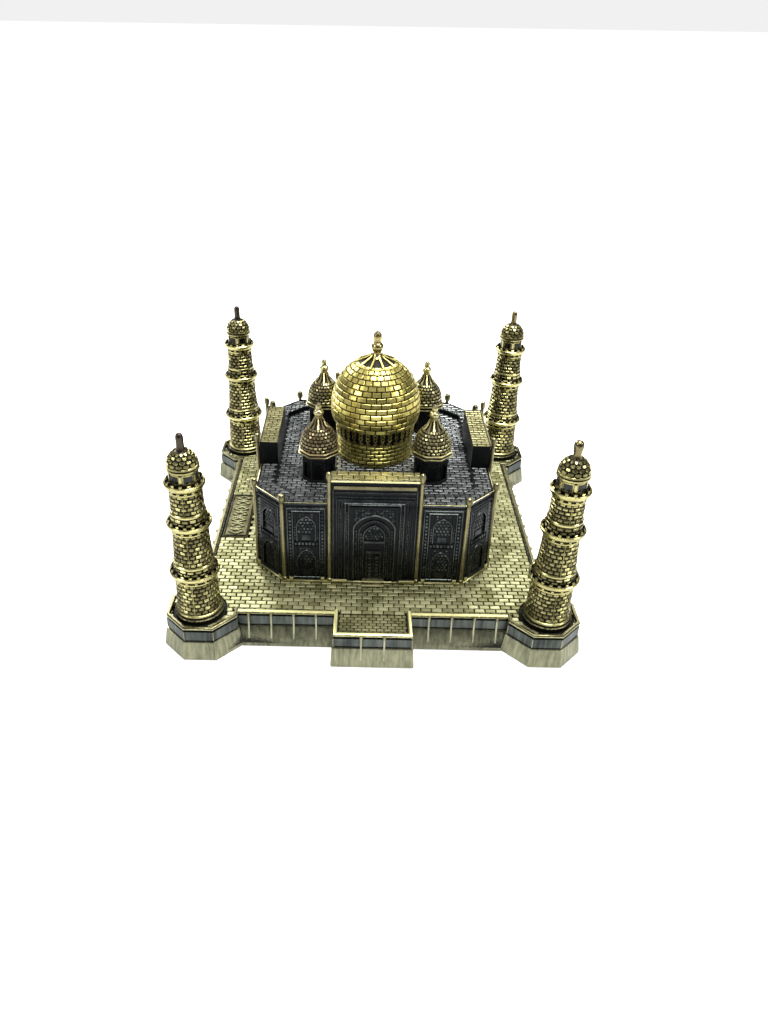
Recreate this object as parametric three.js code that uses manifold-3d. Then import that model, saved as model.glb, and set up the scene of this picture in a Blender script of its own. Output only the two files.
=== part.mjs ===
// A cast metal souvenir: a domed hall with four roof kiosks on a square terrace with four corner towers.
// Millimetres, +Z up, +Y to the back. The origin is on the table under the middle of the outline.
import * as THREE from "three";
import { mergeVertices } from "three/addons/utils/BufferGeometryUtils.js";
import Module from "manifold-3d";

const wasm = await Module();
wasm.setup();

// Terrace: a tray casting with walls that lean out below a plain band.
const RIM_Z = 10.4; // top of the parapet
const FLOOR_Z = 9.8; // terrace floor
const FLOOR_THICK = 2;
const BAND_Z = 6.3; // foot of the upright band
const CASTING_Z = 0.4; // lower edge of the casting, above the pads
const WALL_HALF = 47.4; // centre to the upright band
const WALL_FOOT_HALF = 49.8;
const LEDGE = 0.25; // the leaning part starts this far out
const PARAPET = 1.6; // width of the parapet's top
const TRAY_HALF = 45.2; // inside of the tray
const RIB_PITCH = 6;
const RIB_WIDE = 0.6;
const RIB_PROUD = 0.9;

// Corner bastions and the front block.
const BASTION_AT = 45.2;
const BASTION_HALF = 9.3;
const BASTION_CUT = 5.5;
const BASTION_FOOT_HALF = 10.5;
const BLOCK_HALF = 10.2;
const BLOCK_FOOT_HALF = 10.9;
const BLOCK_FRONT = 55.7;
const BLOCK_FOOT_FRONT = 57.1;
const BLOCK_SUNK = 0.4; // its floor lies this far below the terrace

// Hall: a hollow casting with leaning walls and cut corners.
const HALL_HALF = 33.1;
const HALL_CUT = 8.4;
const HALL_TOP_HALF = 32.3;
const COPING_Z = 35.3;
const COPING_WIDE = 4.9;
const ROOF_Z = 34.3;
const ROOF_THICK = 2.2;
const HALL_WALL = 2.3;
const PORTAL_HALF = 11.8;
const PORTAL_Z = 42.4;
const PORTAL_FRONT = 33.4; // at the foot
const PORTAL_TOP_FRONT = 32.4;
const PORTAL_BACK = 27.5;
const PILASTER_R = 0.6;
const PORTAL_PILASTER_AT = 12.1;
const PORTAL_PILASTER_Z = 45.2;
const CORNER_PILASTER_Z = 38.2;

// Dome, kiosks and towers.
const DOME_TOP_Z = 71;
const DOME_CAP_Z = 63.6; // where the finial sits
const KIOSK_AT = 15.6;
const KIOSK_EAVE_Z = 42;
const KIOSK_R = 4.45;
const TOWER_AT = 46.1;
const TOWER_FOOT_Z = 9.4;
const SEAT_R = 7; // round seat in the bastion's top
const TOWER_CAP_Z = 57.8; // where the pin sits
const TOWER_TOP_Z = 62.3;

// Fasteners and pads.
const SCREW_R = 1;
const HOLE_R = 1.2;
const HEAD_R = 2;
const HEAD_TALL = 1.5;
const POST_AT = 23; // screw posts inside the hall
const POST_R = 3;
const DOME_SCREW_AT = 7.9;
const PAD_R = 6;
const PAD_THICK = 1.2;

// The origin is under the middle of the outline, and the front block reaches further than the bastions.
const DOME_Y = (BLOCK_FOOT_FRONT - BASTION_AT - BASTION_FOOT_HALF) / 2;

const model = new THREE.Group();
model.position.y = DOME_Y;

const CORNERS = [
  ["front_left", -1, -1],
  ["front_right", 1, -1],
  ["rear_left", -1, 1],
  ["rear_right", 1, 1],
];

const OLD_BRASS = { color: 0x9c8a4e, roughness: 0.42, metalness: 0.9 };
const BRIGHT_BRASS = { color: 0xc2a957, roughness: 0.34, metalness: 0.95 };
const BLACKENED = { color: 0x23262c, roughness: 0.5, metalness: 0.8 };
const STEEL = { color: 0x8f9296, roughness: 0.35, metalness: 1 };
const FELT = { color: 0x1d1d1f, roughness: 0.95, metalness: 0 };

function addPart(name, geometry, finish) {
  const mesh = new THREE.Mesh(geometry, new THREE.MeshStandardMaterial(finish));
  mesh.name = name;
  model.add(mesh);
}

function solidOf(geometry) {
  const bare = geometry.index ? geometry.toNonIndexed() : geometry.clone();
  bare.deleteAttribute("normal");
  bare.deleteAttribute("uv");
  const merged = mergeVertices(bare, 1e-4);
  return new wasm.Manifold(
    new wasm.Mesh({
      numProp: 3,
      vertProperties: new Float32Array(merged.attributes.position.array),
      triVerts: new Uint32Array(merged.index.array),
    }),
  );
}

function geometryOf(solid) {
  const mesh = solid.getMesh();
  const points = new Float32Array(mesh.numVert * 3);
  for (let i = 0; i < mesh.numVert; i++) {
    const at = i * mesh.numProp;
    points.set(mesh.vertProperties.subarray(at, at + 3), i * 3);
  }
  const geometry = new THREE.BufferGeometry();
  geometry.setAttribute("position", new THREE.BufferAttribute(points, 3));
  geometry.setIndex(new THREE.BufferAttribute(mesh.triVerts, 1));
  return geometry;
}

const joined = (first, ...rest) => rest.reduce((all, next) => all.add(next), first);
const cut = (first, ...rest) => rest.reduce((all, next) => all.subtract(next), first);

function box(x0, x1, y0, y1, z0, z1) {
  const geometry = new THREE.BoxGeometry(x1 - x0, y1 - y0, z1 - z0);
  geometry.translate((x0 + x1) / 2, (y0 + y1) / 2, (z0 + z1) / 2);
  return solidOf(geometry);
}

function rod(radius, z0, z1, x = 0, y = 0, sides = 12) {
  const geometry = new THREE.CylinderGeometry(radius, radius, z1 - z0, sides);
  geometry.rotateX(Math.PI / 2);
  geometry.translate(x, y, (z0 + z1) / 2);
  return solidOf(geometry);
}

// A square with cut corners, anticlockwise from above; no cut leaves a plain square.
function cutSquare(half, corner) {
  const straight = half - corner;
  const points = [];
  for (let quarter = 0; quarter < 4; quarter++) {
    const turn = new THREE.Vector2(half, 0).rotateAround(new THREE.Vector2(), (quarter * Math.PI) / 2);
    const side = new THREE.Vector2(-turn.y, turn.x).divideScalar(half);
    points.push(turn.clone().addScaledVector(side, -straight));
    if (corner > 0) points.push(turn.clone().addScaledVector(side, straight));
  }
  return new THREE.Shape(points);
}

// An outline raised from z0 to z1 whose top is narrowed about its middle.
function leaning(outline, z0, z1, narrowX = 1, narrowY = narrowX) {
  const geometry = new THREE.ExtrudeGeometry(outline, { depth: z1 - z0, bevelEnabled: false });
  const position = geometry.attributes.position;
  for (let i = 0; i < position.count; i++) {
    const top = position.getZ(i) > (z1 - z0) / 2;
    const x = position.getX(i) * (top ? narrowX : 1);
    const y = position.getY(i) * (top ? narrowY : 1);
    position.setXYZ(i, x, y, top ? z1 : z0);
  }
  return solidOf(geometry);
}

// A turned solid from [radius, height] pairs that start and end on the axis.
function turned(profile, sides, phase = 0) {
  const points = profile.map(([radius, height]) => new THREE.Vector2(radius, height));
  const geometry = new THREE.LatheGeometry(points, sides, phase);
  geometry.rotateX(Math.PI / 2);
  return solidOf(geometry);
}

function pointedArch(half, spring, peak) {
  const arch = new THREE.Shape();
  arch.moveTo(-half, 0);
  arch.lineTo(half, 0);
  arch.lineTo(half, spring);
  arch.quadraticCurveTo(half, (spring + peak) / 2, 0, peak);
  arch.quadraticCurveTo(-half, (spring + peak) / 2, -half, spring);
  return arch;
}

// A shallow arched recess in a wall that faces -Y at distance wallY, leaning with it.
function archCut(x, z, half, spring, peak, wallY, depth, curveSegments = 2) {
  const geometry = new THREE.ExtrudeGeometry(pointedArch(half, spring, peak), {
    depth: depth + 3,
    bevelEnabled: false,
    curveSegments,
  });
  geometry.rotateX(Math.PI / 2);
  geometry.translate(x, -wallY + depth, z);
  return solidOf(geometry);
}

// One upright rib on a wall that faces -Y.
function rib(at, reach) {
  return box(at - RIB_WIDE / 2, at + RIB_WIDE / 2, -reach, -reach + 2, BAND_Z + 0.2, FLOOR_Z);
}

function bastion() {
  const narrow = (BASTION_HALF + LEDGE) / BASTION_FOOT_HALF;
  const foot = BASTION_FOOT_HALF;
  const cutShare = BASTION_CUT / BASTION_HALF;
  const lower = leaning(cutSquare(foot, foot * cutShare), CASTING_Z, BAND_Z, narrow);
  const upper = leaning(cutSquare(BASTION_HALF, BASTION_CUT), BAND_Z - 1, RIM_Z);
  return lower.add(upper);
}

function frontBlock() {
  const middle = -WALL_HALF + 3;
  const reach = BLOCK_FRONT + middle;
  const footReach = BLOCK_FOOT_FRONT + middle;
  const outline = (half, front) =>
    new THREE.Shape([
      new THREE.Vector2(-half, -front),
      new THREE.Vector2(half, -front),
      new THREE.Vector2(half, 1),
      new THREE.Vector2(-half, 1),
    ]);
  const bandZ = BAND_Z + 0.9;
  const narrowX = (BLOCK_HALF + LEDGE) / BLOCK_FOOT_HALF;
  const narrowY = (reach + LEDGE) / footReach;
  const lower = leaning(outline(BLOCK_FOOT_HALF, footReach), CASTING_Z, bandZ, narrowX, narrowY);
  const upper = leaning(outline(BLOCK_HALF, reach), bandZ - 1, RIM_Z);
  return lower.add(upper).translate([0, middle, 0]);
}

function terraceBase() {
  const narrow = (WALL_HALF + LEDGE) / WALL_FOOT_HALF;
  let body = joined(
    leaning(cutSquare(WALL_FOOT_HALF, 0), CASTING_Z, BAND_Z, narrow),
    leaning(cutSquare(WALL_HALF, 0), BAND_Z - 1, RIM_Z),
    frontBlock(),
  );
  const floorHalf = WALL_HALF - PARAPET;
  const blockFloorHalf = BLOCK_HALF - PARAPET;
  const blockFloorFront = BLOCK_FRONT - PARAPET;
  body = cut(
    body,
    box(-TRAY_HALF, TRAY_HALF, -TRAY_HALF, TRAY_HALF, 0, FLOOR_Z - FLOOR_THICK),
    box(-blockFloorHalf, blockFloorHalf, -blockFloorFront, 0, 0, FLOOR_Z - FLOOR_THICK - BLOCK_SUNK),
  );
  for (const [, sideX, sideY] of CORNERS) {
    body = body.add(bastion().translate([sideX * BASTION_AT, sideY * BASTION_AT, 0]));
  }
  const blockFloorBack = -WALL_HALF + 0.8;
  body = cut(
    body,
    box(-floorHalf, floorHalf, -floorHalf, floorHalf, FLOOR_Z, RIM_Z + 1),
    box(-blockFloorHalf, blockFloorHalf, -blockFloorFront, 0, FLOOR_Z, RIM_Z + 1),
    box(-blockFloorHalf, blockFloorHalf, -blockFloorFront, blockFloorBack, FLOOR_Z - BLOCK_SUNK, RIM_Z),
  );
  for (let quarter = 0; quarter < 4; quarter++) {
    for (let step = -6; step < 6; step++) {
      const at = (step + 0.5) * RIB_PITCH;
      const onBlock = quarter === 0 && Math.abs(at) < BLOCK_HALF;
      if (onBlock && Math.abs(at) > 4) continue;
      const reach = (onBlock ? BLOCK_FRONT : WALL_HALF) + RIB_PROUD;
      body = body.add(rib(at, reach).rotate([0, 0, quarter * 90]));
    }
  }
  const bastionFloor = leaning(cutSquare(BASTION_HALF - 1.1, BASTION_CUT - 0.6), FLOOR_Z, RIM_Z + 1);
  for (const [, sideX, sideY] of CORNERS) {
    const x = sideX * TOWER_AT;
    const y = sideY * TOWER_AT;
    body = cut(
      body,
      bastionFloor.translate([sideX * BASTION_AT, sideY * BASTION_AT, 0]),
      rod(SEAT_R, TOWER_FOOT_Z, RIM_Z + 1, x, y, 20),
      rod(HOLE_R, 0, RIM_Z, x, y),
      rod(HEAD_R + 0.4, 0, 5.4, x, y),
      rod(PAD_R + 0.3, 0, PAD_THICK, x, y, 20),
      rod(HOLE_R, 5, RIM_Z, sideX * POST_AT, sideY * POST_AT),
    );
  }
  return geometryOf(body);
}

// A half-sunk column with a round tip.
function pilaster(x, y, z0, z1, tip) {
  const neck = z1 - 1.6 * tip - 1;
  const profile = [[0, z0], [PILASTER_R, z0], [PILASTER_R, neck], [tip, neck + 0.8], [tip, z1 - 0.6], [0, z1]];
  return turned(profile, 8).translate([x, y, 0]);
}

// What is added to and removed from one face of the hall and one cut corner, before they are turned into place.
function hallSide() {
  const foot = FLOOR_Z + 0.7;
  const narrow = PORTAL_TOP_FRONT / PORTAL_FRONT;
  const back = PORTAL_BACK / narrow;
  const portalOutline = new THREE.Shape([
    new THREE.Vector2(-PORTAL_HALF, -PORTAL_FRONT),
    new THREE.Vector2(PORTAL_HALF, -PORTAL_FRONT),
    new THREE.Vector2(PORTAL_HALF, -back),
    new THREE.Vector2(-PORTAL_HALF, -back),
  ]);
  const inside = box(-PORTAL_HALF - 1, PORTAL_HALF + 1, -HALL_TOP_HALF + HALL_WALL, 0, 0, ROOF_Z - ROOF_THICK);
  const added = [leaning(portalOutline, FLOOR_Z, PORTAL_Z, 1, narrow).subtract(inside)];
  for (const side of [-1, 1]) {
    added.push(pilaster(side * PORTAL_PILASTER_AT, -PORTAL_FRONT + 0.6, foot - 0.3, PORTAL_PILASTER_Z, 0.75));
    added.push(pilaster(side * (HALL_HALF - HALL_CUT), -HALL_HALF + 0.5, foot - 0.3, CORNER_PILASTER_Z, 1));
  }
  added.push(box(-3, 3, -HALL_HALF - 2, -HALL_HALF + 1, FLOOR_Z, FLOOR_Z + 0.6));
  const removed = [archCut(0, foot, 6.4, 14.5, 22.5, PORTAL_FRONT, 1.5)];
  for (const side of [-1, 1]) {
    const bay = side * 18.3;
    removed.push(archCut(bay, foot + 0.3, 3.6, 7.4, 10.6, HALL_HALF, 1));
    removed.push(archCut(bay, foot + 12.6, 3.6, 6.6, 9.8, HALL_HALF, 1.2));
  }
  const cornerFace = (2 * HALL_HALF - HALL_CUT) / Math.SQRT2;
  removed.push(archCut(0, foot + 0.3, 3.4, 7.4, 10.6, cornerFace, 1).rotate([0, 0, 45]));
  removed.push(archCut(0, foot + 12.6, 3.4, 6.6, 9.8, cornerFace, 1.2).rotate([0, 0, 45]));
  return { added, removed };
}

function mainHall() {
  const narrow = HALL_TOP_HALF / HALL_HALF;
  const outline = cutSquare(HALL_HALF, HALL_CUT);
  const roofHalf = HALL_TOP_HALF - COPING_WIDE;
  const roofCut = HALL_CUT - COPING_WIDE * 0.59;
  const insideHalf = HALL_TOP_HALF - HALL_WALL;
  const insideCut = HALL_CUT - HALL_WALL * 0.59;
  let body = joined(
    leaning(outline, FLOOR_Z, COPING_Z, narrow),
    leaning(cutSquare(HALL_HALF + 0.6, HALL_CUT + 0.35), FLOOR_Z, FLOOR_Z + 0.7),
  );
  body = cut(
    body,
    leaning(cutSquare(roofHalf, roofCut), ROOF_Z, COPING_Z + 1),
    leaning(cutSquare(insideHalf, insideCut), 0, ROOF_Z - ROOF_THICK),
  );
  const { added, removed } = hallSide();
  const allRound = (pieces) => [0, 90, 180, 270].flatMap((turn) => pieces.map((p) => p.rotate([0, 0, turn])));
  body = cut(joined(body, ...allRound(added)), ...allRound(removed));
  for (const [, sideX, sideY] of CORNERS) {
    const post = rod(POST_R, FLOOR_Z, ROOF_Z - 1, sideX * POST_AT, sideY * POST_AT);
    const kioskHole = rod(HOLE_R, 20, ROOF_Z + 1, sideX * KIOSK_AT, sideY * KIOSK_AT);
    body = cut(body.add(post), rod(HOLE_R, 0, 18.5, sideX * POST_AT, sideY * POST_AT), kioskHole);
  }
  for (const side of [-1, 1]) body = body.subtract(rod(HOLE_R, 20, ROOF_Z + 1, side * DOME_SCREW_AT, 0));
  return geometryOf(body);
}

function mainDome() {
  const outside = turned(
    [
      [0, ROOF_Z], [11.2, ROOF_Z], [11, 40.8], [11.2, 41], [11.6, 44.9], [12.1, 45.3], [12.65, 46.8],
      [12.85, 48.6], [12.7, 51], [11.9, 54.4], [10.5, 57.3], [8.7, 59.7], [6.1, 61.9], [2.4, DOME_CAP_Z],
      [0, DOME_CAP_Z],
    ],
    24,
  );
  const core = turned([[0, 30], [5.4, 30], [4.2, 57], [0, 57]], 12);
  let body = cut(outside, core);
  for (const side of [-1, 1]) body = body.subtract(rod(HOLE_R, 30, 43, side * DOME_SCREW_AT, 0));
  return geometryOf(body);
}

function domeFinial() {
  return geometryOf(
    turned(
      [
        [0, DOME_CAP_Z], [2, DOME_CAP_Z], [1.2, 64.8], [1.78, 66.4], [1.05, 67.7], [1.22, 69.4], [0.7, 70.7],
        [0, DOME_TOP_Z],
      ],
      12,
    ),
  );
}

function kioskBody(x, y) {
  const corner = KIOSK_R / Math.cos(Math.PI / 8);
  let body = turned(
    [[0, ROOF_Z], [corner + 0.35, ROOF_Z], [corner + 0.35, ROOF_Z + 0.7], [corner, ROOF_Z + 0.7],
      [corner, KIOSK_EAVE_Z], [0, KIOSK_EAVE_Z]],
    8,
    Math.PI / 8,
  );
  for (let face = 0; face < 8; face++) {
    const niche = archCut(0, ROOF_Z + 1.2, 1.25, 3.9, 5.6, KIOSK_R, 0.5, 1);
    body = body.subtract(niche.rotate([0, 0, face * 45]));
  }
  return geometryOf(body.subtract(rod(HOLE_R, 30, 50)).translate([x, y, 0]));
}

function kioskCap(x, y) {
  const eave = 6;
  const lower = turned(
    [[0, KIOSK_EAVE_Z], [eave - 0.5, KIOSK_EAVE_Z], [eave, KIOSK_EAVE_Z + 0.3], [eave - 0.2, KIOSK_EAVE_Z + 1.4],
      [5.2, KIOSK_EAVE_Z + 1.8], [0, KIOSK_EAVE_Z + 1.8]],
    8,
    Math.PI / 8,
  );
  const upper = turned(
    [[0, 43], [5, 43], [5.15, 44.6], [4.7, 46.4], [3.5, 48.6], [2.1, 50.2], [1.1, 51.9], [1.3, 53.5],
      [0.75, 54.4], [0.8, 55.5], [0, 56.4]],
    14,
  );
  return geometryOf(lower.add(upper).subtract(rod(HOLE_R, 40, 46)).translate([x, y, 0]));
}

function cornerTower(x, y) {
  const body = turned(
    [
      [0, TOWER_FOOT_Z], [6.4, TOWER_FOOT_Z], [6.5, 10.8], [5.85, 12.1], [5.45, 17.2], [5.4, 22], [6.45, 23.2],
      [6.35, 24.6], [5.35, 25.4], [5, 27], [4.6, 33], [4.55, 36.5], [5.6, 37.7], [5.5, 39.2], [4.55, 39.9],
      [4.2, 41.9], [4.05, 47.8], [5, 48.9], [4.9, 50.4], [3.42, 50.7], [3.42, 52.6], [4.05, 53.2], [4, 54.4],
      [3.65, 55.4], [3, 56.6], [1.3, TOWER_CAP_Z], [0, TOWER_CAP_Z],
    ],
    18,
  );
  return geometryOf(body.subtract(rod(HOLE_R, 0, 22)).translate([x, y, 0]));
}

function towerFinial(x, y) {
  return geometryOf(
    turned(
      [[0, TOWER_CAP_Z], [1.2, TOWER_CAP_Z], [0.95, 59.2], [1, TOWER_TOP_Z - 1], [0, TOWER_TOP_Z]],
      10,
    ).translate([x, y, 0]),
  );
}

// A pan-head screw that points up: the head's bearing face is at seatZ and the tip at tipZ.
function screw(x, y, seatZ, tipZ) {
  const headZ = seatZ - HEAD_TALL;
  const body = turned(
    [[0, headZ], [HEAD_R * 0.75, headZ], [HEAD_R, headZ + 0.5], [HEAD_R, seatZ], [SCREW_R, seatZ],
      [SCREW_R, tipZ - 0.7], [0, tipZ]],
    10,
  );
  const slot = box(-HEAD_R, HEAD_R, -0.3, 0.3, headZ - 1, headZ + 0.7);
  return geometryOf(body.subtract(slot).translate([x, y, 0]));
}

function footPad(x, y) {
  return geometryOf(rod(PAD_R, 0, PAD_THICK, x, y, 20));
}

addPart("terrace_base", terraceBase(), OLD_BRASS);
addPart("main_hall", mainHall(), BLACKENED);
addPart("main_dome", mainDome(), BRIGHT_BRASS);
addPart("dome_finial", domeFinial(), BRIGHT_BRASS);
for (const [corner, sideX, sideY] of CORNERS) {
  const kioskX = sideX * KIOSK_AT;
  const kioskY = sideY * KIOSK_AT;
  const towerX = sideX * TOWER_AT;
  const towerY = sideY * TOWER_AT;
  addPart("kiosk_body_" + corner, kioskBody(kioskX, kioskY), BLACKENED);
  addPart("kiosk_cap_" + corner, kioskCap(kioskX, kioskY), OLD_BRASS);
  addPart("tower_" + corner, cornerTower(towerX, towerY), OLD_BRASS);
  addPart("tower_finial_" + corner, towerFinial(towerX, towerY), BRIGHT_BRASS);
  addPart("kiosk_screw_" + corner, screw(kioskX, kioskY, ROOF_Z - ROOF_THICK, 45.5), STEEL);
  addPart("tower_screw_" + corner, screw(towerX, towerY, 5.4, 20), STEEL);
  addPart("hall_screw_" + corner, screw(sideX * POST_AT, sideY * POST_AT, FLOOR_Z - FLOOR_THICK, 17), STEEL);
  addPart("foot_pad_" + corner, footPad(towerX, towerY), FELT);
}
addPart("dome_screw_left", screw(-DOME_SCREW_AT, 0, ROOF_Z - ROOF_THICK, 42), STEEL);
addPart("dome_screw_right", screw(DOME_SCREW_AT, 0, ROOF_Z - ROOF_THICK, 42), STEEL);

export default model;
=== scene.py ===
import math
import random

import bmesh
import bpy
from mathutils import Matrix, Vector


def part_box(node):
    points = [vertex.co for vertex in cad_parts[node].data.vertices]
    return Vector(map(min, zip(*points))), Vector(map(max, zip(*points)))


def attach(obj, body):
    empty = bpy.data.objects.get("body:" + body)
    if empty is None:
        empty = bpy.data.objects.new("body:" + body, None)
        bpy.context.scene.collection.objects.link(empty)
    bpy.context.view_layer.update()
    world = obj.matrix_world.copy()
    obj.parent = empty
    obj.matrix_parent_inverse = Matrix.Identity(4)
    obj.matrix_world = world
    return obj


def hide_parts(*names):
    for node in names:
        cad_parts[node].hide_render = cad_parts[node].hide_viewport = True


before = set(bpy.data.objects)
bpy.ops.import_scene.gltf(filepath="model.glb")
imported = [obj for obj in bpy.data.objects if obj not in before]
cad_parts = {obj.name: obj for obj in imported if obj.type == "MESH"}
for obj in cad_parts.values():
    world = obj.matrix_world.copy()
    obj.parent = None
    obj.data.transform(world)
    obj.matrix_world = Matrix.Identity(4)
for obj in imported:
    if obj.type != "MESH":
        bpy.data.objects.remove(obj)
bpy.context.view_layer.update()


# The stage: a white table top and plain studio soft boxes above and beside it.
# The model stands in the middle, seen from the front and a little above.
MM = 0.001
EYE = Vector((-4.4, -202.2, 142.8)) * MM
LOOK_DOWN = math.radians(32.856)
TURN = math.radians(0.554)
TILT = math.radians(0.859)

eye_data = bpy.data.cameras.new("eye")
eye_data.sensor_width = 36
eye_data.lens = 26.87
eye_data.shift_x = 0.03125
eye_data.clip_start = 0.01
eye = bpy.data.objects.new("eye", eye_data)
bpy.context.collection.objects.link(eye)
aim = Matrix.Rotation(TURN, 4, "Z") @ Matrix.Rotation(math.pi / 2 - LOOK_DOWN, 4, "X")
aim = aim @ Matrix.Rotation(TILT, 4, "Z")
eye.matrix_world = Matrix.Translation(EYE) @ aim
bpy.context.scene.camera = eye
bpy.context.scene.view_settings.view_transform = "Standard"

table_mesh = bpy.data.meshes.new("table_top")
TABLE_HALF = 20.0
table_corners = [(x * TABLE_HALF, y * TABLE_HALF, 0) for x, y in ((-1, -1), (1, -1), (1, 1), (-1, 1))]
table_mesh.from_pydata(table_corners, [], [(0, 1, 2, 3)])
table_top = bpy.data.objects.new("table_top", table_mesh)
bpy.context.collection.objects.link(table_top)

white_paint = bpy.data.materials.new("white_table")
white_paint.use_nodes = True
paint_shader = white_paint.node_tree.nodes["Principled BSDF"]
paint_shader.inputs["Base Color"].default_value = (0.72, 0.72, 0.72, 1)
paint_shader.inputs["Roughness"].default_value = 0.7
paint_shader.inputs["Specular IOR Level"].default_value = 0.1
paint_shader.inputs["Emission Color"].default_value = (1, 1, 1, 1)
paint_links = white_paint.node_tree.links
seen_by_eye = white_paint.node_tree.nodes.new("ShaderNodeLightPath")
glow = white_paint.node_tree.nodes.new("ShaderNodeMapRange")
glow.inputs["To Min"].default_value = 0.0
glow.inputs["To Max"].default_value = 0.84
paint_links.new(seen_by_eye.outputs["Is Camera Ray"], glow.inputs["Value"])
paint_links.new(glow.outputs["Result"], paint_shader.inputs["Emission Strength"])
table_mesh.materials.append(white_paint)

world = bpy.data.worlds.new("studio")
bpy.context.scene.world = world
world.use_nodes = True
sky = world.node_tree
sky.nodes.clear()
sky_out = sky.nodes.new("ShaderNodeOutputWorld")
seen_direct = sky.nodes.new("ShaderNodeLightPath")
room = sky.nodes.new("ShaderNodeBackground")
room.inputs["Color"].default_value = (0.97, 0.98, 1.0, 1)
compass = sky.nodes.new("ShaderNodeTexCoord")
height_of = sky.nodes.new("ShaderNodeSeparateXYZ")
dimmer = sky.nodes.new("ShaderNodeMapRange")
dimmer.interpolation_type = "SMOOTHSTEP"
for socket, value in (("From Min", 0.0), ("From Max", 0.9), ("To Min", 0.03), ("To Max", 0.32)):
    dimmer.inputs[socket].default_value = value
sky.links.new(compass.outputs["Generated"], height_of.inputs["Vector"])
sky.links.new(height_of.outputs["Z"], dimmer.inputs["Value"])
sky.links.new(dimmer.outputs["Result"], room.inputs["Strength"])
backdrop = sky.nodes.new("ShaderNodeBackground")
backdrop.inputs["Strength"].default_value = 1.1
choose = sky.nodes.new("ShaderNodeMixShader")
sky.links.new(seen_direct.outputs["Is Camera Ray"], choose.inputs["Fac"])
sky.links.new(room.outputs[0], choose.inputs[1])
sky.links.new(backdrop.outputs[0], choose.inputs[2])
sky.links.new(choose.outputs[0], sky_out.inputs["Surface"])


def soft_box(name, place, width, height, watts):
    """A rectangular lamp in metres that faces the middle of the table."""
    light = bpy.data.lights.new(name, "AREA")
    light.shape = "RECTANGLE"
    light.size = width
    light.size_y = height
    light.energy = watts
    lamp = bpy.data.objects.new(name, light)
    bpy.context.collection.objects.link(lamp)
    lamp.location = place
    lamp.rotation_euler = (-Vector(place)).to_track_quat("-Z", "Y").to_euler()


soft_box("soft_box_top", (0.08, -0.02, 0.60), 0.40, 0.30, 7.5)
soft_box("soft_box_back", (-0.38, 0.50, 0.42), 0.36, 0.30, 4.5)
soft_box("soft_box_rear_right", (0.22, 0.33, 0.42), 0.12, 0.10, 0.6)
soft_box("soft_box_left", (-0.55, -0.30, 0.40), 0.18, 0.30, 2.0)
soft_box("soft_box_right", (0.60, -0.25, 0.45), 0.16, 0.25, 2.0)


# The terrace: one tray casting in zinc alloy, antique brass plated and relieved by hand,
# so raised edges are rubbed bright and joints stay dark. The round tower seats are machined.
# Hall and towers are screwed to it from below.
rng = random.Random(17)
STRAP_SHOULDER = 0.1


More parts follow.
